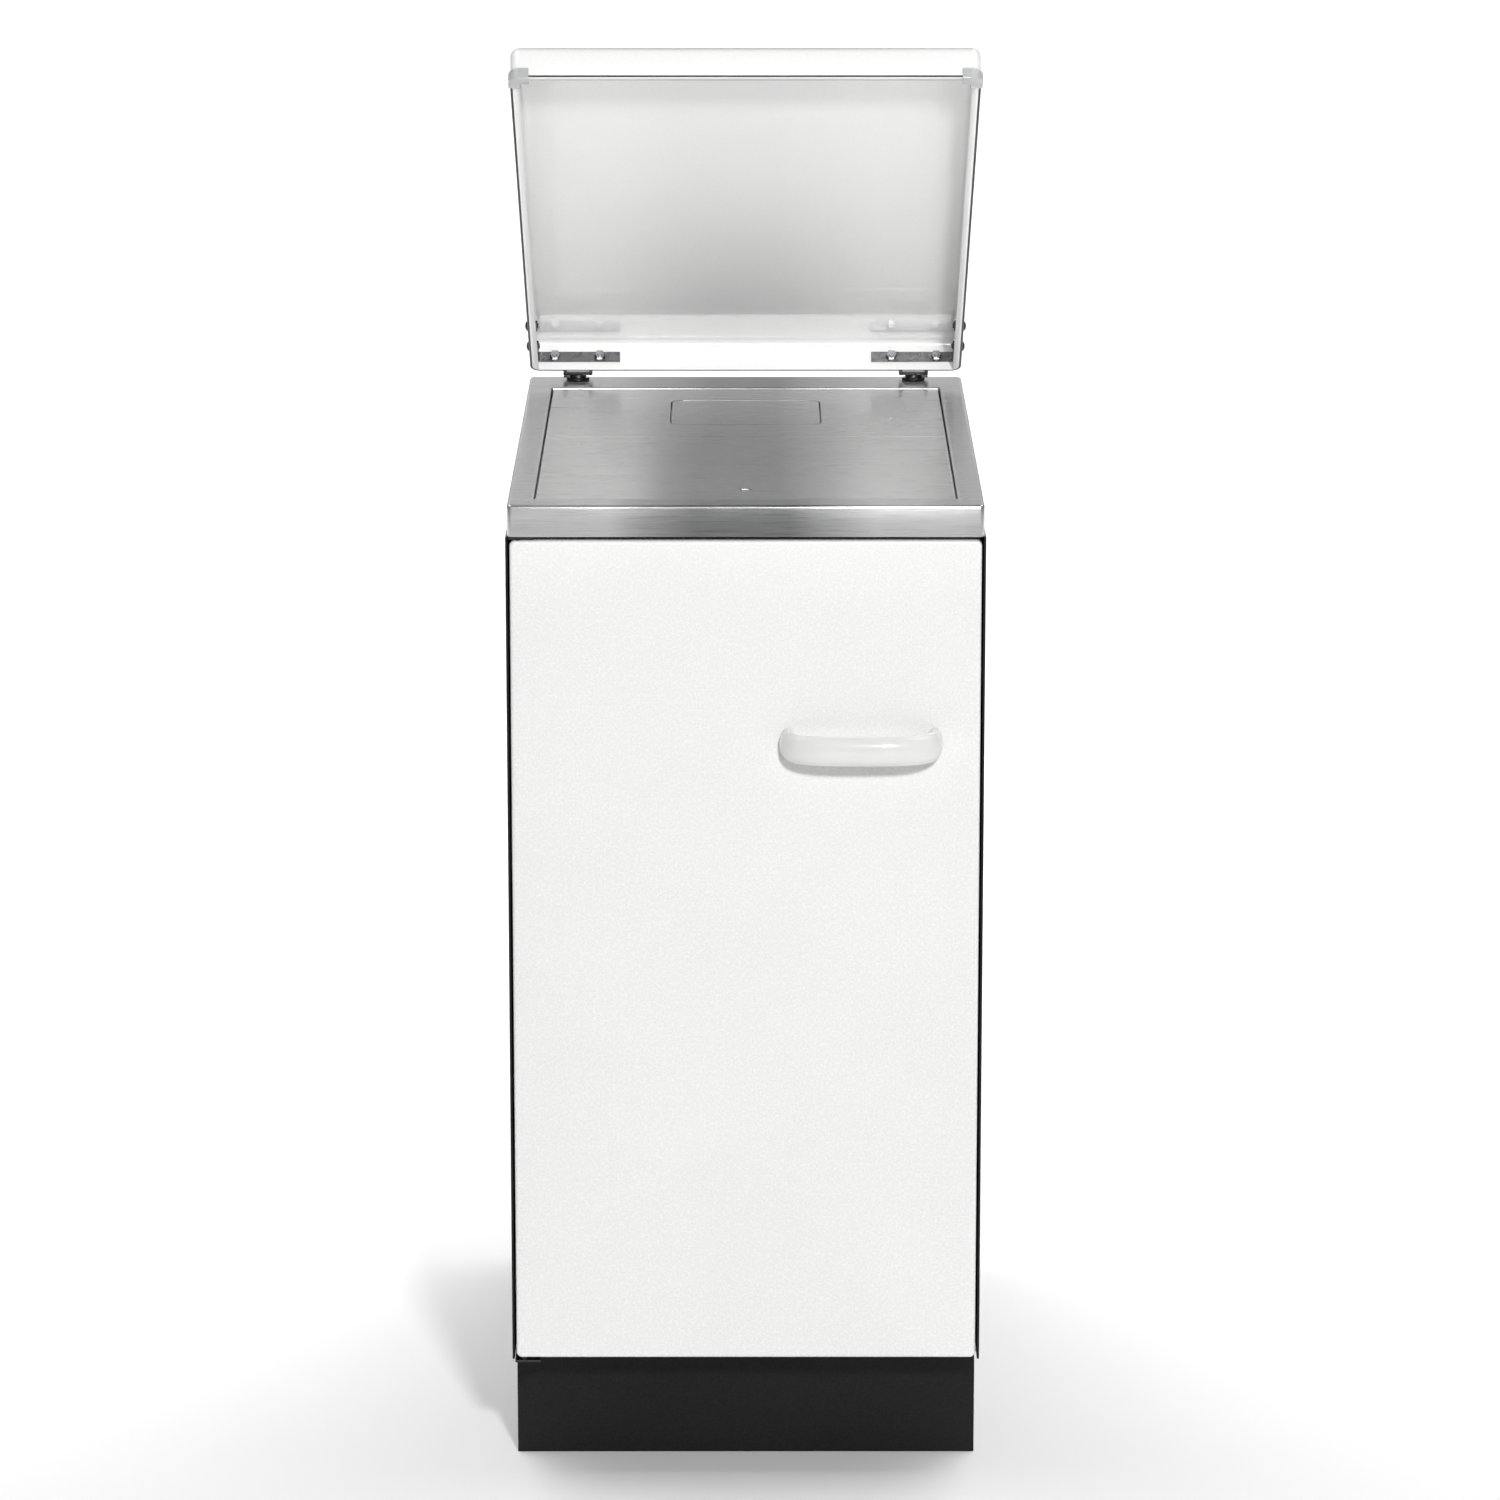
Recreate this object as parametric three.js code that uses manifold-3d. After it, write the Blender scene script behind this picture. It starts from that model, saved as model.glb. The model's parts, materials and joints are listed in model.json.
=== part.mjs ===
// A narrow free-standing solid-fuel kitchen cooker: a black enamelled carcass on a plinth, a full-height
// white front door, a brushed steel hob with lift-off plates and a white hinged lid, standing half open.
// Behind the door are the firebox with its fire door and shaking grate, the ash pan and its door, the
// fuel drawer, the air control and the start-up damper. Millimetres, +Z up, front towards -Y.
// The origin is on the floor, at the middle of the footprint.
import * as THREE from "three";
import { mergeVertices } from "three/addons/utils/BufferGeometryUtils.js";
import Module from "manifold-3d";

const wasm = await Module();
wasm.setup();

// ---------- Driving dimensions ----------
const Width = 400; // over the side panels
const Depth = 600; // door face to back panel
const Height = 850; // floor to the hob frame's top
const Gap = 0.3; // between pieces that touch
const Sheet = 2; // carcass sheet steel

const PlinthHeight = 103;
const PlinthSetback = 56; // behind the door face
const PlinthInset = 2; // inside each side panel
const PlinthRearSetback = 10;
const PlinthFlange = 12; // turned in along the floor
const CrossRailWidth = 40;
const FootInset = 35; // foot centre from the carcass side
const FootFrontInset = 100; // front foot centre from the door face
const FootRearInset = 50; // rear foot centre from the back panel
const FootPadRadius = 17;
const FootPadHeight = 8;
const FootStudRadius = 5;

const FrameInset = 1.5; // hob frame inside the carcass width, each side
const FrameSheet = 2;
const SkirtHeight = 27;
const BorderSide = 21.5; // visible border round the hob plates
const BorderFront = 28;
const BorderRear = 59;
const LedgeThickness = 3;
const LedgeWidth = 14;
const FrameCorner = 3;

const PlateThickness = 8;
const PlateSink = 0.7; // plate top below the border's top
const PlateGap = 1.8; // open groove round the plates
const SeamGap = 0.8; // between the two plates
const RearPlateLength = 231;
const SlotLength = 10; // lifting slot in the front plate
const SlotWidth = 4.5;
const SlotFromFront = 72;
const CoverWidth = 134; // cleaning cover let into the rear plate
const CoverLength = 121;
const CoverCorner = 12;
const CoverThickness = 4.7;
const CoverGap = 0.8;
const CoverLedge = 8;

const DoorTopGap = 3;
const DoorBottomGap = 2;
const DoorSideGap = 1.5;
const DoorThickness = 20;
const DoorFaceSheet = 1.5;
const DoorCorner = 5;
const DoorPivotInset = 7; // pivot from the door's left edge
const DoorPivotDepth = 4; // pivot behind the door face
const DoorPinRadius = 2.5;
const DoorPinLength = 14;
const PinClearance = 0.4;
const BracketSheet = 2;
const LinerSheet = 1.5;
const CatchHeight = 430; // magnet catch above the carcass floor

const HandleLength = 137.5;
const HandleReach = 42; // how far it stands out of the door
const HandleHeight = 25;
const HandleThickness = 15;
const HandleFromRight = 103.3; // handle centre from the carcass side
const HandleFromTop = 202; // handle centre below the hob frame's top

const InnerFrontSetback = 95; // inner front behind the door face
const BodySideSpace = 30; // between side panel and stove body
const BodyRearSpace = 68; // between stove body and back panel
const BodySheet = 3;
const AshFloorDrop = 478; // all drops are measured down from the hob frame's top
const GrateDrop = 335;
const FireOpeningDrop = 100;
const FireOpeningHeight = 160;
const FireOpeningWidth = 210;
const AshOpeningHeight = 105;
const AshOpeningWidth = 242;
const DrawerOpeningBelowAsh = 36;
const DrawerOpeningAboveFloor = 7;
const DrawerSideInset = 28; // drawer opening from the carcass side

const BrickThickness = 30;
const BrickHeight = 245;
const RearBrickHeight = 220;
const RearBrickBehindSeam = 50;
const BrickFrontSpace = 20; // between front wall and side bricks
const GrateFrameThickness = 15;
const GrateWidth = 220;
const GrateLip = 10;
const GrateLipThickness = 3;
const GrateTravel = 25;
const GrateFrontSpace = 45;
const GrateRearSpace = 15;
const GrateSlotWidth = 9;
const GrateSlotPitch = 20;
const RodRadius = 4;
const RodClearance = 1;
const KnobRadius = 11;
const KnobLength = 22;
const ShakerFromMiddle = 60; // shaker rod left of the middle

const FlueRadius = 60; // outside of the flue spigot
const FlueSheet = 2;
const FlueDrop = 115; // flue centre below the hob frame's top
const FlueFlangeWidth = 12;
const BaffleBehindSeam = 142;
const BaffleFoot = 45; // gas way left under the baffle
const DamperDrop = 58;
const DamperWidth = 120;
const DamperHeight = 60;
const DamperLap = 5; // how far the damper plate laps over its opening

const DoorLeafLap = 10; // inner doors lap over their openings
const DoorLeafThickness = 6;
const DoorLeafPlug = 10; // raised panel that enters the opening
const KnuckleRadius = 6;
const LatchDrop = 0; // latch from the middle of the door leaf
const LatchBossRadius = 10;
const LatchArm = 55;
const LatchBar = 10;

const AshPanWallSheet = 2;
const AshPanHeight = 90;
const AshPanSetback = 44; // pan behind the stove body's front wall
const AshPanRearSpace = 98; // pan ahead of the ash room's rear wall
const PanPullReach = 12;

const DrawerWall = 2;
const DrawerRearSpace = 15;
const DrawerFrontLap = 6;
const DrawerPullWidth = 120;
const DrawerPullReach = 20;
const RailSheet = 2;
const RailHeight = 25;

const AirKnobRadius = 15;
const AirKnobFromSide = 20;
const AirKnobAboveGrate = 25;
const AirOpeningWidth = 80;
const AirOpeningHeight = 40;
const AirOpeningAboveAsh = 23;
const FlapLap = 8;
const FlapPinRadius = 3;
const LugSheet = 4;
const LugReach = 6; // lug's edge past the flap's pin

const LidInset = 3.2; // inside the carcass width, each side
const LidFrontInset = 12; // closed lid's front edge behind the door face
const LidDepth = 30; // panel to rim
const LidSheet = 1.5;
const LidLip = 6; // rim turned in along the front and the sides
const LidCorner = 8;
const LidChamfer = 2.5;
const LidRimClearance = 3; // closed rim above the hob frame
const LidOpenDegrees = 36; // how far it stands open
const HingeFromBack = 18; // lid hinge axis ahead of the back panel
const HingeAboveHob = 26;
const HingeFromSide = 46; // hinge post centre from the carcass side
const HingeToFlange = 8; // lid's rear flange ahead of the hinge axis
const PostRadius = 10.5;
const PostFootHeight = 2.2;
const PostCollarRadius = 7.6;
const PostCollarHeight = 6;
const PostStudRadius = 3;
const KnuckleHalf = 10; // half the lid knuckle's length
const EarSheet = 3;
const EarRadius = 5.2;
const LidPinRadius = 2.5;
const LeafMargin = 5.5; // leaf past its bolts
const LeafSheet = 2;
const LeafBelowBolts = 8;
const WebHalf = 3; // half the height of the web between leaf and knuckle
const BracketLeg = 80;
const BracketBar = 9.5;
const BracketBelowPanel = 17.3; // bracket's centre line under the lid's top
const RearBoltSpread = 20.5; // rear bolts each side of the hinge post's middle
const SideBoltSpacings = [25.5, 67]; // side bolts ahead of the lid's rear flange
const BoltRadius = 2.5;
const BoltHole = 2.8;
const BoltHeadRadius = 4.6;
const BoltHeadHeight = 2.8;
const NutRadius = 5;
const NutHeight = 4;
const BufferWall = 2;
const BufferLeg = 18;
const BufferHeight = 9;

// ---------- Planes and edges that pieces share ----------
const Half = Width / 2;
const Front = -Depth / 2;
const Back = Depth / 2;
const FloorTop = PlinthHeight + Sheet;
const FrameBottom = Height - SkirtHeight;
const FrameHalf = Half - FrameInset;
const OpeningHalf = FrameHalf - BorderSide;
const OpeningFront = Front + BorderFront;
const OpeningRear = Back - BorderRear;
const PlateTop = Height - PlateSink;
const PlateBottom = PlateTop - PlateThickness;
const LedgeTop = PlateBottom - Gap;
const LedgeBottom = LedgeTop - LedgeThickness;
const PlateHalf = OpeningHalf - PlateGap;
const RearPlateRear = OpeningRear - PlateGap;
const RearPlateFront = RearPlateRear - RearPlateLength;
const FrontPlateRear = RearPlateFront - SeamGap;
const FrontPlateFront = OpeningFront + PlateGap;
const InnerFront = Front + InnerFrontSetback;
const BodyFront = InnerFront + Sheet + Gap;
const BodyInsideFront = BodyFront + BodySheet;
const BodyRear = Back - BodyRearSpace;
const BodyInsideRear = BodyRear - BodySheet;
const BodyHalf = Half - BodySideSpace;
const BodyInsideHalf = BodyHalf - BodySheet;
const BodyTop = LedgeBottom - Gap;
const AshFloor = Height - AshFloorDrop;
const AshFloorTop = AshFloor + BodySheet;
const GrateTop = Height - GrateDrop;
const GrateBottom = GrateTop - GrateFrameThickness;
const FireTop = Height - FireOpeningDrop;
const FireBottom = FireTop - FireOpeningHeight;
const AshBottom = AshFloorTop;
const AshTop = AshBottom + AshOpeningHeight;
const DrawerTop = AshFloor - DrawerOpeningBelowAsh;
const DrawerBottom = FloorTop + DrawerOpeningAboveFloor;
const DrawerHalf = Half - DrawerSideInset;
const RearBrickFront = FrontPlateRear + RearBrickBehindSeam;
const RearBrickRear = RearBrickFront + BrickThickness;
const BaffleFront = FrontPlateRear + BaffleBehindSeam;
const GrateFrameRear = BodyInsideRear - Gap;
const ShakerZ = GrateBottom + GrateFrameThickness / 2;
const DamperZ = Height - DamperDrop;
const FlueZ = Height - FlueDrop;
const AirOpeningBottom = AshFloorTop + AirOpeningAboveAsh;
const AirOpeningTop = AirOpeningBottom + AirOpeningHeight;
const FlapHalf = AirOpeningWidth / 2 + FlapLap;
const FlapTop = AirOpeningTop + FlapLap;
const FlapFront = BodyRear + Gap;
const FlapPinY = FlapFront + FlapPinRadius;
const DoorHalf = Half - Sheet - DoorSideGap;
const DoorTop = FrameBottom - DoorTopGap;
const DoorBottom = PlinthHeight + DoorBottomGap;
const DoorRear = Front + DoorThickness;
const DoorPivotX = -DoorHalf + DoorPivotInset;
const DoorPivotY = Front + DoorPivotDepth;
const HingeY = Back - HingeFromBack;
const HingeZ = Height + HingeAboveHob;
const HingeX = Half - HingeFromSide;

// ---------- Making, joining and cutting solids ----------
function solid(geometry) {
  const bare = geometry.index ? geometry.toNonIndexed() : geometry.clone();
  bare.deleteAttribute("normal");
  bare.deleteAttribute("uv");
  const merged = mergeVertices(bare, 1e-4);
  const mesh = new wasm.Mesh({
    numProp: 3,
    vertProperties: merged.attributes.position.array,
    triVerts: new Uint32Array(merged.index.array),
  });
  return new wasm.Manifold(mesh);
}

const join = (first, ...others) => others.reduce((sum, one) => sum.add(one), first);
const cut = (first, ...others) => others.reduce((rest, one) => rest.subtract(one), first);

// A box between two corners.
function block(x0, x1, y0, y1, z0, z1) {
  const geometry = new THREE.BoxGeometry(x1 - x0, y1 - y0, z1 - z0);
  return solid(geometry.translate((x0 + x1) / 2, (y0 + y1) / 2, (z0 + z1) / 2));
}

// A round bar along one axis, from start to end on that axis, centred on the other two coordinates.
function bar(axis, radius, start, end, a, b, sides = 16) {
  const geometry = new THREE.CylinderGeometry(radius, radius, end - start, sides);
  const middle = (start + end) / 2;
  if (axis === "x") return solid(geometry.rotateZ(Math.PI / 2).translate(middle, a, b));
  if (axis === "y") return solid(geometry.translate(a, middle, b));
  return solid(geometry.rotateX(Math.PI / 2).translate(a, b, middle));
}

function roundedRectangle(halfWidth, low, high, radius) {
  const shape = new THREE.Shape();
  shape.moveTo(-halfWidth + radius, low);
  shape.lineTo(halfWidth - radius, low);
  shape.absarc(halfWidth - radius, low + radius, radius, -Math.PI / 2, 0);
  shape.lineTo(halfWidth, high - radius);
  shape.absarc(halfWidth - radius, high - radius, radius, 0, Math.PI / 2);
  shape.lineTo(-halfWidth + radius, high);
  shape.absarc(-halfWidth + radius, high - radius, radius, Math.PI / 2, Math.PI);
  shape.lineTo(-halfWidth, low + radius);
  shape.absarc(-halfWidth + radius, low + radius, radius, Math.PI, 1.5 * Math.PI);
  return shape;
}

// A flat slab with round corners, lying down: its outline is in X and Y.
function slab(halfWidth, y0, y1, radius, z0, z1, segments = 4) {
  const shape = roundedRectangle(halfWidth, y0, y1, radius);
  const settings = { depth: z1 - z0, bevelEnabled: false, curveSegments: segments };
  return solid(new THREE.ExtrudeGeometry(shape, settings).translate(0, 0, z0));
}

// A flat panel with round corners, standing up: its outline is in X and Z.
function panel(halfWidth, z0, z1, radius, y0, y1, segments = 4) {
  const shape = roundedRectangle(halfWidth, z0, z1, radius);
  const settings = { depth: y1 - y0, bevelEnabled: false, curveSegments: segments };
  return solid(new THREE.ExtrudeGeometry(shape, settings).rotateX(Math.PI / 2).translate(0, y1, 0));
}

// ---------- Materials ----------
const finish = (color, roughness, metalness) =>
  new THREE.MeshStandardMaterial({ color, roughness, metalness });
const whiteEnamel = finish(0xf4f4f3, 0.3, 0);
const blackEnamel = finish(0x17181a, 0.35, 0);
const brushedSteel = finish(0xb4b5b6, 0.35, 1);
const groundSteel = finish(0xa3a4a5, 0.4, 1);
const castIron = finish(0x2c2c2e, 0.7, 0.6);
const fireclay = finish(0xc8ac86, 0.95, 0);
const zincSteel = finish(0x8d9094, 0.4, 1);
const whitePlastic = finish(0xf0f0ee, 0.25, 0);
const blackPlastic = finish(0x1a1a1b, 0.4, 0);
const greyRubber = finish(0x9c9d9d, 0.7, 0);

const cooker = new THREE.Group();
const lid = new THREE.Group();
lid.position.set(0, HingeY, HingeZ);
lid.rotation.x = -THREE.MathUtils.degToRad(LidOpenDegrees);
cooker.add(lid);

function add(name, piece, material, group = cooker) {
  const made = piece.getMesh();
  const geometry = new THREE.BufferGeometry();
  geometry.setAttribute("position", new THREE.BufferAttribute(made.vertProperties, 3));
  geometry.setIndex(new THREE.BufferAttribute(made.triVerts, 1));
  geometry.computeVertexNormals();
  const mesh = new THREE.Mesh(geometry, material);
  mesh.name = name;
  group.add(mesh);
}

const sides = [
  ["left", -1],
  ["right", 1],
];

// A box given by its distances from the middle, on one side of the cooker.
function sideBlock(sign, inner, outer, y0, y1, z0, z1) {
  const [x0, x1] = sign > 0 ? [inner, outer] : [-outer, -inner];
  return block(x0, x1, y0, y1, z0, z1);
}

// ---------- Carcass ----------
for (const [side, sign] of sides) {
  const sheet = sideBlock(
    sign, Half - Sheet, Half, Front + Sheet, Back, PlinthHeight + Gap, FrameBottom - Gap,
  );
  add(`side_panel_${side}`, sheet, blackEnamel);
}

const CarcassInside = Half - Sheet - Gap;
const VentCount = 5;
const VentPitch = 22;
const VentHalfLength = 90;
const VentHeight = 8;
const VentFromFloor = 60;
function backPanel() {
  let sheet = block(
    -CarcassInside, CarcassInside, Back - Sheet, Back, FloorTop + Gap, FrameBottom - Gap,
  );
  sheet = cut(sheet, bar("y", FlueRadius + RodClearance, Back - 2 * Sheet, Back + Sheet, 0, FlueZ, 32));
  for (let i = 0; i < VentCount; i++) {
    const z = FloorTop + VentFromFloor + i * VentPitch;
    sheet = cut(
      sheet,
      block(-VentHalfLength, VentHalfLength, Back - 2 * Sheet, Back + Sheet, z, z + VentHeight),
    );
  }
  return sheet;
}
add("back_panel", backPanel(), blackEnamel);

const FloorFront = DoorRear + Sheet;
add(
  "base_plate",
  block(-CarcassInside, CarcassInside, FloorFront, Back - Gap, PlinthHeight, FloorTop), blackEnamel,
);

const PlinthHalf = Half - PlinthInset;
const PlinthFront = Front + PlinthSetback;
const PlinthRear = Back - PlinthRearSetback;
function plinth() {
  const top = PlinthHeight - Gap;
  const outside = block(-PlinthHalf, PlinthHalf, PlinthFront, PlinthRear, 0, top);
  const inside = PlinthHalf - Sheet;
  const hollow = block(-inside, inside, PlinthFront + Sheet, PlinthRear - Sheet, Sheet, top + Sheet);
  const turned = inside - PlinthFlange;
  const [y0, y1] = [PlinthFront + Sheet + PlinthFlange, PlinthRear - Sheet - PlinthFlange];
  const floorHole = block(-turned, turned, y0, y1, -Sheet, 2 * Sheet);
  const rail = block(-inside, inside, -CrossRailWidth / 2, CrossRailWidth / 2, 0, Sheet);
  return join(cut(outside, hollow, floorHole), rail);
}
add("plinth", plinth(), blackEnamel);

const NutAcross = 9;
const NutTall = 6;
for (const [side, sign] of sides) {
  for (const [end, y] of [["front", Front + FootFrontInset], ["rear", Back - FootRearInset]]) {
    const x = sign * (Half - FootInset);
    const top = PlinthHeight - Gap;
    const pad = bar("z", FootPadRadius, 0, FootPadHeight, x, y, 16);
    const stud = bar("z", FootStudRadius, FootPadHeight / 2, top, x, y, 8);
    const nut = bar("z", NutAcross, top - NutTall, top, x, y, 6);
    add(`foot_${end}_${side}`, join(pad, stud, nut), zincSteel);
  }
}

// ---------- Hob frame and plates ----------
function topFrame() {
  const outside = slab(FrameHalf, Front, Back, FrameCorner, FrameBottom, Height, 3);
  const inside = FrameHalf - FrameSheet;
  const under = block(
    -inside, inside, Front + FrameSheet, Back - FrameSheet, FrameBottom - Sheet,
    Height - FrameSheet,
  );
  const wellHalf = OpeningHalf + FrameSheet;
  const well = block(
    -wellHalf, wellHalf, OpeningFront - FrameSheet,
    OpeningRear + FrameSheet, LedgeBottom, Height - FrameSheet / 2,
  );
  const opening = block(-OpeningHalf, OpeningHalf, OpeningFront, OpeningRear, LedgeTop, Height + Sheet);
  const ledgeHalf = OpeningHalf - LedgeWidth;
  const hole = block(
    -ledgeHalf, ledgeHalf, BodyInsideFront, OpeningRear - LedgeWidth, LedgeBottom - Sheet, Height,
  );
  let frame = cut(join(cut(outside, under), well), opening, hole);
  for (const [, sign] of sides) {
    frame = cut(
      frame, bar("z", PostStudRadius + Gap, FrameBottom, Height + Sheet, sign * HingeX, HingeY, 12),
    );
  }
  return frame;
}
add("top_frame", topFrame(), brushedSteel);

function frontPlate() {
  const plate = slab(PlateHalf, FrontPlateFront, FrontPlateRear, 2, PlateBottom, PlateTop, 2);
  const y = Front + SlotFromFront;
  const slot = block(
    -SlotLength / 2, SlotLength / 2, y - SlotWidth / 2, y + SlotWidth / 2, PlateBottom - Gap, PlateTop + Gap,
  );
  return cut(plate, slot);
}
add("hob_plate_front", frontPlate(), groundSteel);

const CoverMiddle = (RearPlateFront + RearPlateRear) / 2;
const CoverBottom = PlateTop - CoverThickness;
function rearPlate() {
  const plate = slab(PlateHalf, RearPlateFront, RearPlateRear, 2, PlateBottom, PlateTop, 2);
  const [halfWidth, halfLength] = [CoverWidth / 2, CoverLength / 2];
  const rebate = slab(
    halfWidth, CoverMiddle - halfLength, CoverMiddle + halfLength, CoverCorner, CoverBottom - Gap, Height,
  );
  const through = slab(
    halfWidth - CoverLedge, CoverMiddle - halfLength + CoverLedge, CoverMiddle + halfLength - CoverLedge,
    CoverCorner - CoverLedge / 2, PlateBottom - Sheet, Height,
  );
  return cut(plate, rebate, through);
}
add("hob_plate_rear", rearPlate(), groundSteel);

function cleaningCover() {
  const [halfWidth, halfLength] = [CoverWidth / 2 - CoverGap, CoverLength / 2 - CoverGap];
  return slab(
    halfWidth, CoverMiddle - halfLength, CoverMiddle + halfLength,
    CoverCorner - CoverGap, CoverBottom, PlateTop,
  );
}
add("cleaning_cover", cleaningCover(), groundSteel);

// ---------- Inner front with the hinge eyes and keepers of the inner doors ----------
const FireLeafHalf = FireOpeningWidth / 2 + DoorLeafLap;
const AshLeafHalf = AshOpeningWidth / 2 + DoorLeafLap;
const LeafRear = InnerFront - Gap;
const LeafFront = LeafRear - DoorLeafThickness;
const PivotY = LeafFront - Gap;
const EyeHeight = 8;
const KnuckleHole = 3.4;
const PinRadius = 3;
const KnuckleHeight = 30;
const LatchArmRear = LeafFront - 2 * Gap - LatchBar;
const KeeperWidth = 8;

// One inner door: its opening, and where its pivot and latch are.
const innerDoors = [
  { name: "fire", half: FireLeafHalf, top: FireTop + DoorLeafLap, bottom: FireBottom - DoorLeafLap },
  { name: "ash", half: AshLeafHalf, top: AshTop + DoorLeafLap, bottom: AshBottom - DoorLeafLap },
].map((door) => {
  const middle = (door.top + door.bottom) / 2;
  const pivotX = -door.half - KnuckleRadius - 1;
  const latchX = door.half - 2 * LatchBossRadius;
  return { ...door, middle, pivotX, latchX, latchZ: middle + LatchDrop, keeperX: door.half + 3 };
});

function innerFront() {
  const headHalf = FrameHalf - FrameSheet - Gap;
  let sheet = join(
    block(
      -CarcassInside, CarcassInside, InnerFront, InnerFront + Sheet, FloorTop + Gap,
      FrameBottom - Gap,
    ),
    block(-headHalf, headHalf, InnerFront, InnerFront + Sheet, FrameBottom - 1, BodyTop),
  );
  const through = (x0, x1, z0, z1) => block(
    x0, x1, InnerFront - 2 * Sheet, InnerFront + 2 * Sheet, z0, z1,
  );
  const [fire, ash] = [FireOpeningWidth / 2, AshOpeningWidth / 2];
  sheet = cut(sheet, through(-fire, fire, FireBottom, FireTop), through(-ash, ash, AshBottom, AshTop));
  sheet = cut(sheet, through(-DrawerHalf, DrawerHalf, DrawerBottom, DrawerTop));
  const holes = [
    [-ShakerFromMiddle, ShakerZ],
    [0, DamperZ],
    [Half - AirKnobFromSide, GrateTop + AirKnobAboveGrate],
  ];
  for (const [x, z] of holes) {
    sheet = cut(
      sheet,
      bar("y", RodRadius + RodClearance, InnerFront - Sheet, InnerFront + 2 * Sheet, x, z, 12),
    );
  }
  for (const door of innerDoors) {
    const eyeSpan = [
      door.pivotX - KnuckleRadius, door.pivotX + KnuckleRadius, PivotY - KnuckleRadius, InnerFront + Sheet,
    ];
    for (const [z0, z1] of [
      [door.bottom + 2, door.bottom + 2 + EyeHeight],
      [door.top - 2 - EyeHeight, door.top - 2],
    ]) {
      sheet = join(sheet, block(...eyeSpan, z0, z1));
    }
    sheet = join(sheet, bar("z", PinRadius, door.bottom + 2, door.top - 2, door.pivotX, PivotY, 10));
    const keeperTop = door.latchZ - LatchBar / 2 - Gap;
    const keeperX = [door.keeperX, door.keeperX + KeeperWidth];
    sheet = join(
      sheet,
      block(...keeperX, LatchArmRear - LatchBar, InnerFront + Sheet, keeperTop - 12, keeperTop),
    );
  }
  return sheet;
}
add("inner_front", innerFront(), blackEnamel);

// ---------- Stove body: firebox above, ash room below ----------
function stoveBody() {
  const outside = block(-BodyHalf, BodyHalf, BodyFront, BodyRear, AshFloor, BodyTop);
  const inside = block(
    -BodyInsideHalf, BodyInsideHalf, BodyInsideFront, BodyInsideRear, AshFloorTop, BodyTop + Sheet,
  );
  const [fire, ash] = [FireOpeningWidth / 2, AshOpeningWidth / 2];
  const front = [BodyFront - Sheet, BodyInsideFront + Sheet];
  const rear = [BodyInsideRear - Sheet, BodyRear + Sheet];
  const lugs = [-1, 1].map((sign) =>
    sideBlock(
      sign, FlapHalf + 2, FlapHalf + 2 + LugSheet, BodyRear - 1,
      FlapPinY + LugReach, FlapTop - LugReach, FlapTop + LugReach,
    ),
  );
  const pinHole = bar(
    "x", FlapPinRadius + Gap, -FlapHalf - 2 * LugSheet, FlapHalf + 2 * LugSheet, FlapPinY, FlapTop,
    12,
  );
  return cut(
    join(outside, ...lugs),
    inside,
    pinHole,
    block(-fire, fire, ...front, FireBottom, FireTop),
    block(-ash, ash, ...front, AshBottom, AshTop),
    bar("y", RodRadius + RodClearance, ...front, -ShakerFromMiddle, ShakerZ, 12),
    bar("y", RodRadius + RodClearance, ...front, 0, DamperZ, 12),
    bar("y", FlueRadius - FlueSheet, ...rear, 0, FlueZ, 32),
    block(-AirOpeningWidth / 2, AirOpeningWidth / 2, ...rear, AirOpeningBottom, AirOpeningTop),
  );
}
add("stove_body", stoveBody(), castIron);

const BrickFront = BodyInsideFront + BrickFrontSpace;
for (const [side, sign] of sides) {
  const outer = BodyInsideHalf - Gap;
  const bottom = GrateTop + Gap;
  const brick = sideBlock(
    sign, outer - BrickThickness, outer, BrickFront, RearBrickRear, bottom, bottom + BrickHeight,
  );
  add(`firebrick_${side}`, brick, fireclay);
}
const FireHalf = BodyInsideHalf - BrickThickness - 2 * Gap;
const RearBrickBottom = GrateTop + Gap;
add(
  "firebrick_rear",
  block(
    -FireHalf, FireHalf, RearBrickFront, RearBrickRear, RearBrickBottom,
    RearBrickBottom + RearBrickHeight,
  ),
  fireclay,
);

const GrateHoleFront = BodyInsideFront + GrateFrontSpace;
const GrateHoleRear = RearBrickFront - GrateRearSpace;
function grateFrame() {
  const half = BodyInsideHalf - Gap;
  const holeHalf = GrateWidth / 2 + 1;
  const frame = block(-half, half, BodyInsideFront + Gap, GrateFrameRear, GrateBottom, GrateTop);
  const seat = block(
    -holeHalf, holeHalf, GrateHoleFront, GrateHoleRear, GrateBottom + GrateLipThickness, GrateTop + Sheet,
  );
  const through = block(
    -holeHalf + GrateLip, holeHalf - GrateLip, GrateHoleFront + GrateLip, GrateHoleRear - GrateLip,
    GrateBottom - Sheet, GrateTop,
  );
  const rodWay = bar(
    "y", RodRadius + RodClearance, BodyInsideFront, GrateHoleFront + 1, -ShakerFromMiddle, ShakerZ,
    12,
  );
  return cut(frame, seat, through, rodWay);
}
add("grate_frame", grateFrame(), castIron);

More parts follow.
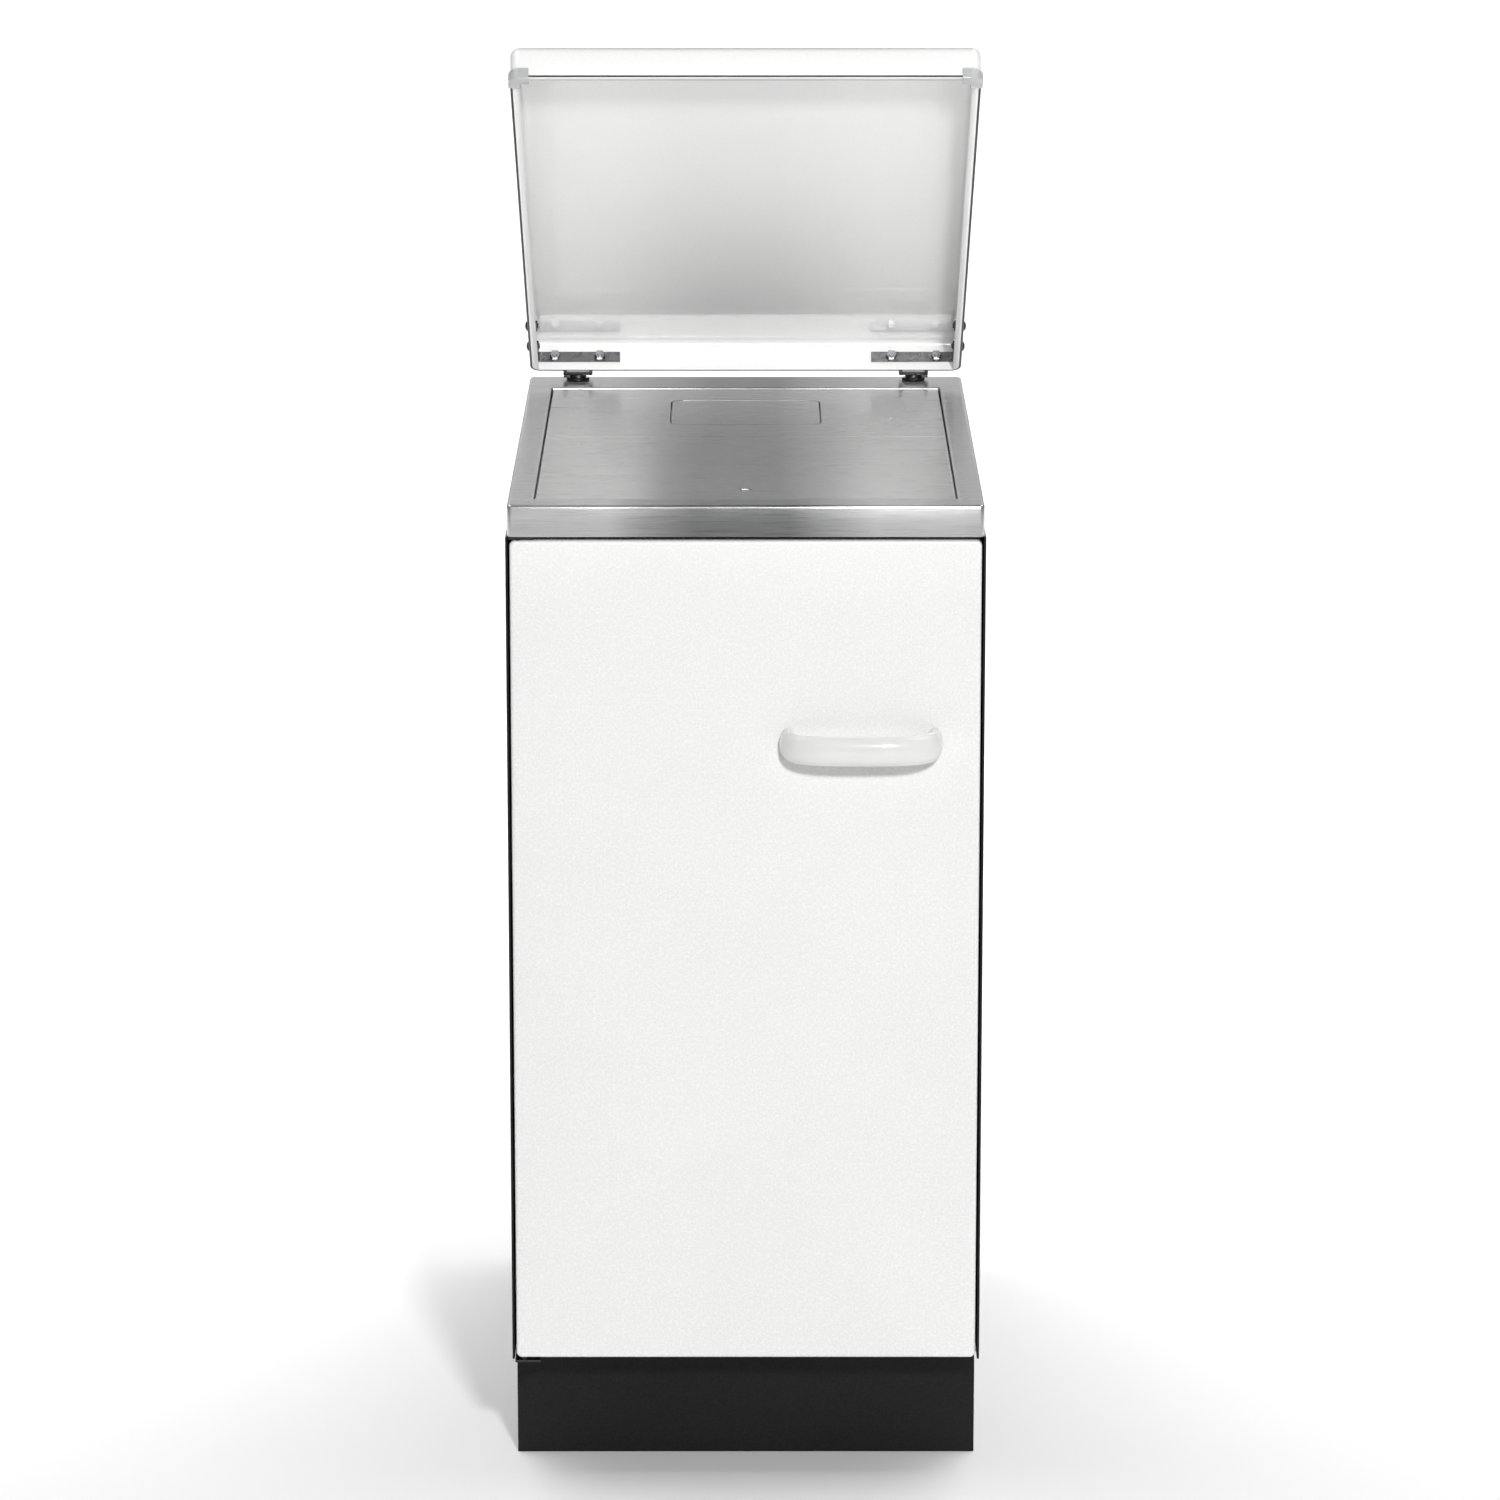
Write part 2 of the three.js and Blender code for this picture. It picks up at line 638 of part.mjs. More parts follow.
const GrateFront = GrateHoleFront + GrateTravel + RodClearance;
const GrateRear = GrateHoleRear - 1;
function fireGrate() {
  const half = GrateWidth / 2;
  const bottom = GrateBottom + GrateLipThickness + Gap;
  let grate = block(-half, half, GrateFront, GrateRear, bottom, GrateTop - Gap);
  const count = Math.floor((GrateWidth - 2 * GrateSlotWidth) / GrateSlotPitch);
  const middle = (GrateFront + GrateRear) / 2;
  for (let i = 0; i < count; i++) {
    const x = (i - (count - 1) / 2) * GrateSlotPitch;
    for (const [y0, y1] of [
      [GrateFront + 14, middle - 5],
      [middle + 5, GrateRear - 14],
    ]) {
      grate = cut(
        grate, block(x - GrateSlotWidth / 2, x + GrateSlotWidth / 2, y0, y1, bottom - 1, GrateTop),
      );
    }
  }
  return grate;
}
add("fire_grate", fireGrate(), castIron);

// A pull rod that runs back from a round knob standing just clear of the inner front.
function pullRod(x, z, rear) {
  const knobRear = InnerFront - RodClearance;
  const knob = bar("y", KnobRadius, knobRear - KnobLength, knobRear, x, z, 20);
  return join(knob, bar("y", RodRadius, knobRear - KnobLength / 2, rear, x, z, 10));
}
add("shaker_rod", pullRod(-ShakerFromMiddle, ShakerZ, GrateFront - Gap), zincSteel);

// ---------- Gas way: baffle, start-up damper, flue spigot ----------
const BaffleRear = BaffleFront + BodySheet;
const BaffleHoleHalf = DamperWidth / 2 - DamperLap;
const BaffleHoleHeight = DamperHeight - 2 * DamperLap;
function smokeBaffle() {
  const half = BodyInsideHalf - Gap;
  const sheet = block(-half, half, BaffleFront, BaffleRear, GrateTop + BaffleFoot, BodyTop);
  const [z0, z1] = [DamperZ - BaffleHoleHeight / 2, DamperZ + BaffleHoleHeight / 2];
  return cut(
    sheet, block(-BaffleHoleHalf, BaffleHoleHalf, BaffleFront - Sheet, BaffleRear + Sheet, z0, z1),
  );
}
add("smoke_baffle", smokeBaffle(), castIron);

const DamperRear = BaffleFront - Gap;
add("damper_rod", pullRod(0, DamperZ, DamperRear - Sheet - 2 * Gap), zincSteel);
add(
  "damper_plate",
  block(
    -DamperWidth / 2, DamperWidth / 2, DamperRear - Sheet, DamperRear,
    DamperZ - DamperHeight / 2, DamperZ + DamperHeight / 2,
  ),
  castIron,
);

// The spigot reaches as far behind the back panel as the handle stands out of the door, which keeps the
// cooker's outer box centred on its footprint.
function flueCollar() {
  const front = BodyRear + Gap;
  const end = Back + HandleReach;
  const tube = bar("y", FlueRadius, front, end, 0, FlueZ, 32);
  const flange = bar("y", FlueRadius + FlueFlangeWidth, front, front + BodySheet, 0, FlueZ, 32);
  return cut(join(tube, flange), bar("y", FlueRadius - FlueSheet, front - 1, end + 1, 0, FlueZ, 32));
}
add("flue_collar", flueCollar(), castIron);

// ---------- Inner doors and their latches ----------
function doorLeaf(door, openingHalf, openingBottom, openingTop) {
  const plugInset = 5;
  const half = openingHalf - plugInset;
  const leaf = panel(door.half, door.bottom, door.top, 6, LeafFront, LeafRear, 2);
  const plug = block(
    -half, half, LeafRear - 1, LeafRear + DoorLeafPlug, openingBottom + plugInset, openingTop - plugInset,
  );
  const low = door.bottom + 2 + EyeHeight + 2 * Gap;
  const high = door.top - 2 - EyeHeight - 2 * Gap;
  const knuckles = [
    [low, low + KnuckleHeight],
    [high - KnuckleHeight, high],
  ].map(([z0, z1]) => {
    const barrel = bar("z", KnuckleRadius, z0, z1, door.pivotX, PivotY, 12);
    const web = block(door.pivotX, -door.half + 4, LeafFront, LeafRear, z0, z1);
    return cut(join(barrel, web), bar("z", KnuckleHole, z0 - 1, z1 + 1, door.pivotX, PivotY, 12));
  });
  const bossHole = bar(
    "y", RodRadius + Gap, LeafFront - 1, LeafRear + DoorLeafPlug + 1, door.latchX, door.latchZ, 10,
  );
  return cut(join(leaf, plug, ...knuckles), bossHole);
}

// A lever that drops on to the keeper; its spindle goes through the leaf.
function latch(door) {
  const bossRear = LeafFront - Gap;
  const bossFront = LatchArmRear - LatchBar;
  const boss = bar("y", LatchBossRadius, bossFront, bossRear, door.latchX, door.latchZ, 16);
  const spindle = bar("y", RodRadius, bossRear - 2, LeafRear, door.latchX, door.latchZ, 8);
  const arm = block(
    door.latchX, door.latchX + LatchArm, bossFront, LatchArmRear,
    door.latchZ - LatchBar / 2, door.latchZ + LatchBar / 2,
  );
  return join(boss, spindle, arm);
}

const [fireDoor, ashDoor] = innerDoors;
const fireLeaf = doorLeaf(fireDoor, FireOpeningWidth / 2, FireBottom, FireTop);
const ashLeaf = doorLeaf(ashDoor, AshOpeningWidth / 2, AshBottom, AshTop);
add("fire_door", fireLeaf, castIron);
add("ash_door", ashLeaf, castIron);
for (const door of innerDoors) {
  add(`${door.name}_door_latch`, latch(door), zincSteel);
}

// ---------- Ash pan ----------
function openBox(half, y0, y1, z0, z1, wall) {
  const outside = block(-half, half, y0, y1, z0, z1);
  return cut(outside, block(-half + wall, half - wall, y0 + wall, y1 - wall, z0 + wall, z1 + wall));
}
function ashPan() {
  const half = AshOpeningWidth / 2 - 5;
  const bottom = AshFloorTop + Gap;
  const front = BodyFront + AshPanSetback;
  const rear = BodyInsideRear - AshPanRearSpace;
  const box = openBox(half, front, rear, bottom, bottom + AshPanHeight, AshPanWallSheet);
  const pull = block(-30, 30, front - PanPullReach, front + 1, bottom + 50, bottom + 54);
  const lip = block(-30, 30, front - PanPullReach, front - PanPullReach + 3, bottom + 38, bottom + 54);
  return join(box, pull, lip);
}
add("ash_pan", ashPan(), zincSteel);

// ---------- Fuel drawer on its rails ----------
const DrawerBoxHalf = DrawerHalf - 4;
const DrawerBoxBottom = DrawerBottom + 2;
const DrawerFrontRear = InnerFront - Gap;
const DrawerFrontFace = DrawerFrontRear - 2 * DrawerWall;
function fuelDrawer() {
  const box = openBox(
    DrawerBoxHalf, DrawerFrontRear - 1, Back - Sheet - DrawerRearSpace,
    DrawerBoxBottom, DrawerTop - 6, DrawerWall,
  );
  const half = DrawerHalf + DrawerFrontLap;
  const face = block(
    -half, half, DrawerFrontFace,
    DrawerFrontRear, DrawerBottom - DrawerOpeningAboveFloor / 2, DrawerTop + DrawerFrontLap,
  );
  return join(box, face);
}
add("fuel_drawer", fuelDrawer(), blackEnamel);

function drawerPull() {
  const half = DrawerPullWidth / 2;
  const rear = DrawerFrontFace - Gap;
  const top = DrawerTop - 30;
  const foot = block(-half, half, rear - 3, rear, top - 30, top);
  const shelf = block(-half, half, rear - DrawerPullReach, rear, top - 4, top);
  const lip = block(-half, half, rear - DrawerPullReach, rear - DrawerPullReach + 3, top - 16, top);
  return join(foot, shelf, lip);
}
add("drawer_pull", drawerPull(), zincSteel);

for (const [side, sign] of sides) {
  const outer = CarcassInside - Gap;
  const [y0, y1] = [InnerFront + Sheet + Gap, Back - Sheet - Gap];
  const floor = sideBlock(
    sign, DrawerBoxHalf - 20, outer, y0, y1, DrawerBoxBottom - Gap - RailSheet,
    DrawerBoxBottom - Gap,
  );
  const web = sideBlock(
    sign, outer - RailSheet, outer, y0, y1, DrawerBoxBottom - Gap - RailSheet,
    DrawerBoxBottom + RailHeight,
  );
  const foot = sideBlock(sign, outer - RailSheet, outer, y0, y1, FloorTop + Gap, DrawerBoxBottom);
  add(`drawer_rail_${side}`, join(floor, web, foot), zincSteel);
}

// ---------- Air control: knob at the front, flap behind the ash room ----------
const AirKnobX = Half - AirKnobFromSide;
const AirKnobZ = GrateTop + AirKnobAboveGrate;
function airKnob() {
  const rear = InnerFront - RodClearance;
  const knob = bar("y", AirKnobRadius, rear - KnobLength, rear, AirKnobX, AirKnobZ, 24);
  const grip = block(
    AirKnobX - 4, AirKnobX + 4, rear - KnobLength - 5, rear, AirKnobZ - AirKnobRadius,
    AirKnobZ + AirKnobRadius,
  );
  const shaft = bar("y", RodRadius, rear - 2, InnerFront + Sheet + 8, AirKnobX, AirKnobZ, 10);
  return join(knob, grip, shaft);
}
add("air_knob", airKnob(), blackPlastic);

function airFlap() {
  const sheet = block(
    -FlapHalf, FlapHalf, FlapFront, FlapFront + Sheet, AirOpeningBottom - FlapLap, FlapTop,
  );
  const pinHalf = FlapHalf + 4 + LugSheet;
  return join(sheet, bar("x", FlapPinRadius, -pinHalf, pinHalf, FlapPinY, FlapTop, 10));
}
add("air_flap", airFlap(), zincSteel);

// ---------- Front door ----------
function doorSkin() {
  const outside = panel(DoorHalf, DoorBottom, DoorTop, DoorCorner, Front, DoorRear, 4);
  const wall = DoorFaceSheet;
  const inside = panel(
    DoorHalf - wall, DoorBottom + wall, DoorTop - wall, DoorCorner - wall, Front + wall, DoorRear + wall, 3,
  );
  const pinHole = (z0, z1) => bar(
    "z", DoorPinRadius + PinClearance, z0, z1, DoorPivotX, DoorPivotY, 12,
  );
  return cut(
    outside, inside, pinHole(DoorBottom - 1, DoorBottom + wall + 1), pinHole(
      DoorTop - wall - 1, DoorTop + 1,
    ),
  );
}
add("door_skin", doorSkin(), whiteEnamel);

const LinerHalf = DoorHalf - DoorFaceSheet - Gap;
const [LinerBottom, LinerTop] = [DoorBottom + DoorFaceSheet + Gap, DoorTop - DoorFaceSheet - Gap];
const LinerSetIn = 9; // the liner's stiffening rim is turned forward by this much
function doorLiner() {
  const sheet = panel(LinerHalf, LinerBottom, LinerTop, 3, DoorRear - LinerSetIn, DoorRear, 2);
  const hollow = panel(
    LinerHalf - LinerSheet, LinerBottom + LinerSheet, LinerTop - LinerSheet, 2,
    DoorRear - LinerSetIn - 1, DoorRear - LinerSheet, 2,
  );
  return cut(sheet, hollow);
}
add("door_liner", doorLiner(), blackEnamel);

// The bow's centre line: a squared half ellipse from the door, out and back.
class BowCurve extends THREE.Curve {
  getPoint(t, target = new THREE.Vector3()) {
    const angle = Math.PI * t;
    const squareness = 2 / 3.2;
    const along = Math.sign(Math.cos(angle)) * Math.abs(Math.cos(angle)) ** squareness;
    const out = Math.abs(Math.sin(angle)) ** squareness;
    const halfLength = (HandleLength - HandleThickness) / 2;
    const reach = HandleReach - HandleThickness / 2 - Gap;
    return target.set(-halfLength * along, Front - Gap - reach * out, 0);
  }
}
function doorHandle() {
  const section = new THREE.Shape();
  section.absellipse(0, 0, HandleHeight / 2, HandleThickness / 2, 0, 2 * Math.PI);
  const settings = { steps: 26, curveSegments: 6, extrudePath: new BowCurve() };
  const geometry = new THREE.ExtrudeGeometry(section, settings);
  geometry.translate(Half - HandleFromRight, 0, Height - HandleFromTop);
  const doorSide = block(-Width, Width, Front - Gap, Front + 50, 0, Height);
  return cut(solid(geometry), doorSide);
}
add("door_handle", doorHandle(), whitePlastic);

const CatchZ = FloorTop + CatchHeight;
const CatchPlateSheet = 1.5;
const CatchWidth = 22;
const CatchTall = 16;
const CatchLength = 26;
const CatchPlateRear = DoorRear + Gap + CatchPlateSheet;
const CatchOuter = CarcassInside - Gap;
add(
  "catch_plate",
  block(
    CatchOuter - CatchWidth - 4, CatchOuter - 8, DoorRear + Gap,
    CatchPlateRear, CatchZ - CatchTall, CatchZ + CatchTall,
  ),
  zincSteel,
);
add(
  "magnet_catch",
  block(
    CatchOuter - CatchWidth, CatchOuter, CatchPlateRear + Gap, CatchPlateRear + Gap + CatchLength,
    CatchZ - CatchTall / 2, CatchZ + CatchTall / 2,
  ),
  whitePlastic,
);

// A tongue with a pin that the door turns on.
function doorHinge(tongueBottom, pinFrom, pinTo) {
  const left = -Half + Sheet + Gap;
  const tongue = block(
    left, left + 22, DoorPivotY - DoorPinRadius - 1, Front + 50, tongueBottom, tongueBottom + BracketSheet,
  );
  return join(tongue, bar("z", DoorPinRadius, pinFrom, pinTo, DoorPivotX, DoorPivotY, 12));
}
const LowerTongue = PlinthHeight - Gap - BracketSheet;
const UpperTongue = FrameBottom - Gap - BracketSheet;
add("door_hinge_lower", doorHinge(LowerTongue, LowerTongue, DoorBottom + DoorPinLength), zincSteel);
add("door_hinge_upper", doorHinge(UpperTongue, DoorTop - DoorPinLength, UpperTongue + 1), zincSteel);

// ---------- Lid, in its closed position, measured from the hinge axis ----------
const LidHalf = Half - LidInset;
const LidRear = -HingeToFlange;
const LidFront = Front + LidFrontInset - HingeY;
const LidRim = LidRimClearance - HingeAboveHob;
const LidTop = LidRim + LidDepth;
const BracketZ = LidTop - BracketBelowPanel;
const boltPlaces = sides.flatMap(([side, sign]) =>
  SideBoltSpacings.flatMap((from, i) => [
    {
      name: `lid_bolt_rear_${side}_${i + 1}`, sign, axis: "y",
      x: sign * (HingeX + RearBoltSpread * (1 - 2 * i)),
    },
    { name: `lid_bolt_side_${side}_${i + 1}`, sign, axis: "x", y: LidRear - from },
  ]),
);

function boltHole(place) {
  if (place.axis === "y") return bar("y", BoltHole, LidRear - 12, LidRear + 6, place.x, BracketZ, 12);
  const [start, end] = place.sign > 0 ? [LidHalf - 12, LidHalf + 3] : [-LidHalf - 3, -LidHalf + 12];
  return bar("x", BoltHole, start, end, place.y, BracketZ, 12);
}

function lidShell() {
  const outside = slab(LidHalf, LidFront, LidRear, LidCorner, LidRim, LidTop - LidChamfer, 4);
  const shape = roundedRectangle(
    LidHalf - LidChamfer, LidFront + LidChamfer, LidRear - LidChamfer, LidCorner - LidChamfer,
  );
  const bevel = {
    depth: LidChamfer,
    curveSegments: 4,
    bevelThickness: LidChamfer,
    bevelSize: LidChamfer,
    bevelOffset: 0,
    bevelSegments: 2,
  };
  const crown = solid(new THREE.ExtrudeGeometry(shape, bevel).translate(0, 0, LidTop - 2 * LidChamfer));
  const wall = LidSheet;
  const inside = slab(
    LidHalf - wall, LidFront + wall, LidRear - wall, LidCorner - wall, LidRim + wall, LidTop - wall, 3,
  );
  const lipInset = wall + LidLip;
  const mouth = slab(
    LidHalf - lipInset, LidFront + lipInset, LidRear - wall, 1, LidRim - 1, LidRim + 2 * wall, 1,
  );
  return cut(join(outside, crown), inside, mouth, ...boltPlaces.map(boltHole));
}
add("lid_shell", lidShell(), whiteEnamel, lid);

const LidInside = LidSheet + Gap;
for (const [side, sign] of sides) {
  const outer = LidHalf - LidInside;
  const rear = LidRear - LidInside;
  const z = [BracketZ - BracketBar / 2, BracketZ + BracketBar / 2];
  const legs = join(
    sideBlock(sign, outer - BracketLeg, outer - LidCorner, rear - Sheet, rear, ...z),
    sideBlock(sign, outer - Sheet, outer, rear - BracketLeg, rear - LidCorner, ...z),
  );
  const corner = sideBlock(sign, outer - LidCorner, outer, rear - LidCorner, rear, ...z);
  const [cx, cy] = [sign * (outer - LidCorner), rear - LidCorner];
  const quarter = cut(
    bar("z", LidCorner - 0.2, ...z, cx, cy, 24),
    bar("z", LidCorner - Sheet, z[0] - 1, z[1] + 1, cx, cy, 24),
  ).intersect(corner);
  const ends = join(
    sideBlock(sign, outer - LidCorner - 1, outer - LidCorner + 0.1, rear - Sheet, rear - 0.2, ...z),
    sideBlock(sign, outer - Sheet, outer - 0.2, rear - LidCorner - 1, rear - LidCorner + 0.1, ...z),
  );
  const holes = boltPlaces.filter((place) => place.sign === sign).map(boltHole);
  add(`lid_bracket_${side}`, cut(join(legs, quarter, ends), ...holes), zincSteel, lid);
}

// The hinge leaf is bolted to the outside of the rear flange and carries the knuckle.
for (const [side, sign] of sides) {
  const x = sign * HingeX;
  const front = LidRear + Gap;
  const leafHalf = RearBoltSpread + LeafMargin;
  const leaf = block(
    x - leafHalf, x + leafHalf, front, front + LeafSheet, BracketZ - LeafBelowBolts, WebHalf,
  );
  const web = block(x - KnuckleHalf, x + KnuckleHalf, front + LeafSheet / 2, -1, -WebHalf, WebHalf);
  const knuckle = bar("x", EarRadius - 0.2, x - KnuckleHalf, x + KnuckleHalf, 0, 0, 16);
  const bore = bar("x", LidPinRadius + Gap, x - KnuckleHalf - 1, x + KnuckleHalf + 1, 0, 0, 12);
  const holes = boltPlaces.filter((place) => place.sign === sign && place.axis === "y").map(boltHole);
  add(`lid_hinge_leaf_${side}`, cut(join(leaf, web, knuckle), bore, ...holes), zincSteel, lid);
}

// A bolt with its head outside and its nut inside, from face to face of what it clamps.
function bolt(place) {
  const nutFace = LidInside + Sheet + Gap;
  const headFace = place.axis === "y" ? LeafSheet + 2 * Gap : Gap;
  const parts = [
    [BoltHeadRadius, headFace, headFace + BoltHeadHeight, 12],
    [BoltRadius, -nutFace - NutHeight - 1, headFace + 1, 10],
    [NutRadius, -nutFace - NutHeight, -nutFace, 6],
  ].map(([radius, from, to, count]) => {
    if (place.axis === "y") return bar(
      "y", radius, LidRear + from, LidRear + to, place.x, BracketZ, count,
    );
    const [start, end] = place.sign > 0 ? [LidHalf + from, LidHalf + to] : [-LidHalf - to, -LidHalf - from];
    return bar("x", radius, start, end, place.y, BracketZ, count);
  });
  return join(...parts);
}
for (const place of boltPlaces) add(place.name, bolt(place), zincSteel, lid);

// Buffers are channels pushed on to the rim at the front corners; the closed lid rests on them.
for (const [side, sign] of sides) {
  const bottom = LidRim - LidRimClearance + Gap;
  const ring = (outset, z0, z1) =>
    slab(LidHalf + outset, LidFront - outset, LidRear, Math.max(LidCorner + outset, 1), z0, z1, 3);
  const inner = LidSheet + LidLip + Gap;
  const top = LidRim + BufferHeight;
  const channel = cut(
    ring(BufferWall, bottom, top),
    cut(ring(Gap, LidRim - Gap, top + 1), ring(-inner, LidRim - 1, top + 2)),
    ring(-inner - BufferWall, bottom - 1, top + 1),
  );
  const corner = sideBlock(
    sign, LidHalf - BufferLeg, LidHalf + 2 * BufferWall, LidFront - 2 * BufferWall, LidFront + BufferLeg,
    bottom - 1, top + 1,
  );
  add(`lid_buffer_${side}`, channel.intersect(corner), greyRubber, lid);
}

// ---------- Hinge posts on the hob frame ----------
for (const [side, sign] of sides) {
  const x = sign * HingeX;
  const seat = Height + Gap;
  const earOuter = KnuckleHalf + Gap + EarSheet;
  const slotHalf = KnuckleHalf + Gap;
  const neck = join(
    block(
      x - earOuter, x + earOuter, HingeY - EarRadius, HingeY + EarRadius,
      seat + PostCollarHeight - 1, HingeZ,
    ),
    bar("x", EarRadius, x - earOuter, x + earOuter, HingeY, HingeZ, 16),
  );
  const slotBottom = HingeZ - EarRadius - 3;
  const slot = block(
    x - slotHalf, x + slotHalf, HingeY - 2 * EarRadius, HingeY + 2 * EarRadius, slotBottom,
    HingeZ + 20,
  );
  const foot = bar("z", PostRadius, seat, seat + PostFootHeight, x, HingeY, 24);
  const collar = bar("z", PostCollarRadius, seat + 1, seat + PostCollarHeight, x, HingeY, 24);
  const stud = bar("z", PostStudRadius, LedgeBottom, seat + 1, x, HingeY, 10);
  const pin = bar("x", LidPinRadius, x - earOuter, x + earOuter, HingeY, HingeZ, 10);
  const post = join(cut(neck, slot), foot, collar, stud, pin);
  add(`hinge_post_${side}`, post, zincSteel);
}

export default cooker;
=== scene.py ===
"""Looks for a narrow solid-fuel side cooker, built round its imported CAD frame.

Everything is in metres in the frame's own axes: +X right, +Y back, +Z up, origin on the floor.
"""

import json
import math

import bmesh
import bpy
from mathutils import Matrix, Vector


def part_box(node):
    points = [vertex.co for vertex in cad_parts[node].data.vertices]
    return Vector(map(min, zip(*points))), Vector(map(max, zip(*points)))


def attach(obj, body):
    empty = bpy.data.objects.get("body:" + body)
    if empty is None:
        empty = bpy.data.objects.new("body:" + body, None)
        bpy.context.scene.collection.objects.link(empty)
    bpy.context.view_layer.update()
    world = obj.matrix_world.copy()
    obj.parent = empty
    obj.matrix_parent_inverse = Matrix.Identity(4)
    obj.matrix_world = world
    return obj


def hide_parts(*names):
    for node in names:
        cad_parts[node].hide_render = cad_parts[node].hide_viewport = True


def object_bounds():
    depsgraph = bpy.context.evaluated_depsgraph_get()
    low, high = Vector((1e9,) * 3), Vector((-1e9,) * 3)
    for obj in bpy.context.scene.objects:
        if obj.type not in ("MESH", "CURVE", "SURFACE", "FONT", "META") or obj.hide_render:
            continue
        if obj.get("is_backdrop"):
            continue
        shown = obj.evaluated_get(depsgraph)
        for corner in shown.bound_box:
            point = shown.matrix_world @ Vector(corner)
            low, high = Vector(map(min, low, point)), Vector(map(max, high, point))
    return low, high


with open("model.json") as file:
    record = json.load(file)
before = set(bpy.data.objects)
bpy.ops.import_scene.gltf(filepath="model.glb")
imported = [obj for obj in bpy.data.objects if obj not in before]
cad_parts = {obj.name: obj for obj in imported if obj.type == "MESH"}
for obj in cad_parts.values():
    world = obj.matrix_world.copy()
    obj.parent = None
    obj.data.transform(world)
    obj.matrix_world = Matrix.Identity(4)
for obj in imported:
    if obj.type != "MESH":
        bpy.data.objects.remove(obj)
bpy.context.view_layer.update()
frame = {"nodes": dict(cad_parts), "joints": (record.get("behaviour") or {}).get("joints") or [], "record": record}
nodes = frame["nodes"]
MM = 0.001

# ---------- Places that the CAD frame gives ----------
# LID_PLACE takes a point from the closed lid's own axes, about its hinge, to where the lid rests.
joints = {joint["name"]: joint for joint in frame["joints"]}
LID_AXIS = Vector(joints["lid_hinge"]["pos_m"])
LID_OPEN = math.radians(36)
LID_PLACE = Matrix.Translation(LID_AXIS) @ Matrix.Rotation(-LID_OPEN, 4, "X")


def span(node):
    """(x0, x1, y0, y1, z0, z1) of a CAD node in millimetres."""
    low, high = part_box(node)
    return [v / MM for pair in zip(low, high) for v in pair]


# ---------- Materials ----------
MIX_FACTOR, MIX_FIRST, MIX_SECOND = 0, 6, 7
MIX_COLOR = 2


class Nodes:
    """A material with its Principled shader and short calls for the nodes that feed it."""

    def __init__(self, name, color, roughness, metallic=0.0, **sockets):
        self.material = bpy.data.materials.new(name)
        self.material.use_nodes = True
        self.tree = self.material.node_tree
        self.shader = self.tree.nodes["Principled BSDF"]
        self.set("Base Color", (*color, 1))
        self.set("Roughness", roughness)
        self.set("Metallic", metallic)
        for socket, value in sockets.items():
            self.set(socket.replace("_", " "), value)
        self.bumps = None

    def set(self, socket, value):
        self.shader.inputs[socket].default_value = value

    def node(self, kind, **values):
        made = self.tree.nodes.new("ShaderNode" + kind)
        for key, value in values.items():
            if key in made.inputs:
                made.inputs[key].default_value = value
            else:
                setattr(made, key, value)
        return made

    def link(self, output, target):
        self.tree.links.new(output, target)

    def place(self, scale=(1, 1, 1)):
        """Object coordinates in metres, scaled."""
        coordinates = self.node("TexCoord")
        mapping = self.node("Mapping")
        mapping.inputs["Scale"].default_value = scale
        self.link(coordinates.outputs["Object"], mapping.inputs["Vector"])
        return mapping.outputs["Vector"]

    def noise(self, scale, detail=3.0, stretch=(1, 1, 1), rough=0.5):
        made = self.node("TexNoise", Scale=scale, Detail=detail, Roughness=rough)
        self.link(self.place(stretch), made.inputs["Vector"])
        return made.outputs["Fac"]

    def cells(self, scale):
        made = self.node("TexVoronoi", Scale=scale)
        self.link(self.place(), made.inputs["Vector"])
        return made.outputs["Distance"]

    def ramp(self, source, low, high, from_value=0.0, to_value=1.0):
        """Maps low..high of the source to from_value..to_value."""
        made = self.node("MapRange")
        limits = {"From Min": low, "From Max": high, "To Min": from_value, "To Max": to_value}
        for key, value in limits.items():
            made.inputs[key].default_value = value
        self.link(source, made.inputs["Value"])
        return made.outputs["Result"]

    def tint(self, factor, first, second):
        """Mixes two fixed colours by a varying factor."""
        mix = self.node("Mix", data_type="RGBA")
        self.link(factor, mix.inputs[MIX_FACTOR])
        mix.inputs[MIX_FIRST].default_value = (*first, 1)
        mix.inputs[MIX_SECOND].default_value = (*second, 1)
        return mix.outputs[MIX_COLOR]

    def blend(self, share, first, second):
        """Mixes two varying colours in a fixed share."""
        mix = self.node("Mix", data_type="RGBA")
        mix.inputs[MIX_FACTOR].default_value = share
        self.link(first, mix.inputs[MIX_FIRST])
        self.link(second, mix.inputs[MIX_SECOND])
        return mix.outputs[MIX_COLOR]

    def color(self, output):
        self.link(output, self.shader.inputs["Base Color"])

    def roughness(self, source, low, high):
        self.link(self.ramp(source, 0.25, 0.75, low, high), self.shader.inputs["Roughness"])

    def bump(self, height, strength, distance):
        """Adds a bump on top of those already there."""
        made = self.node("Bump", Strength=strength, Distance=distance)
        self.link(height, made.inputs["Height"])
        if self.bumps is not None:
            self.link(self.bumps, made.inputs["Normal"])
        self.bumps = made.outputs["Normal"]
        self.link(self.bumps, self.shader.inputs["Normal"])


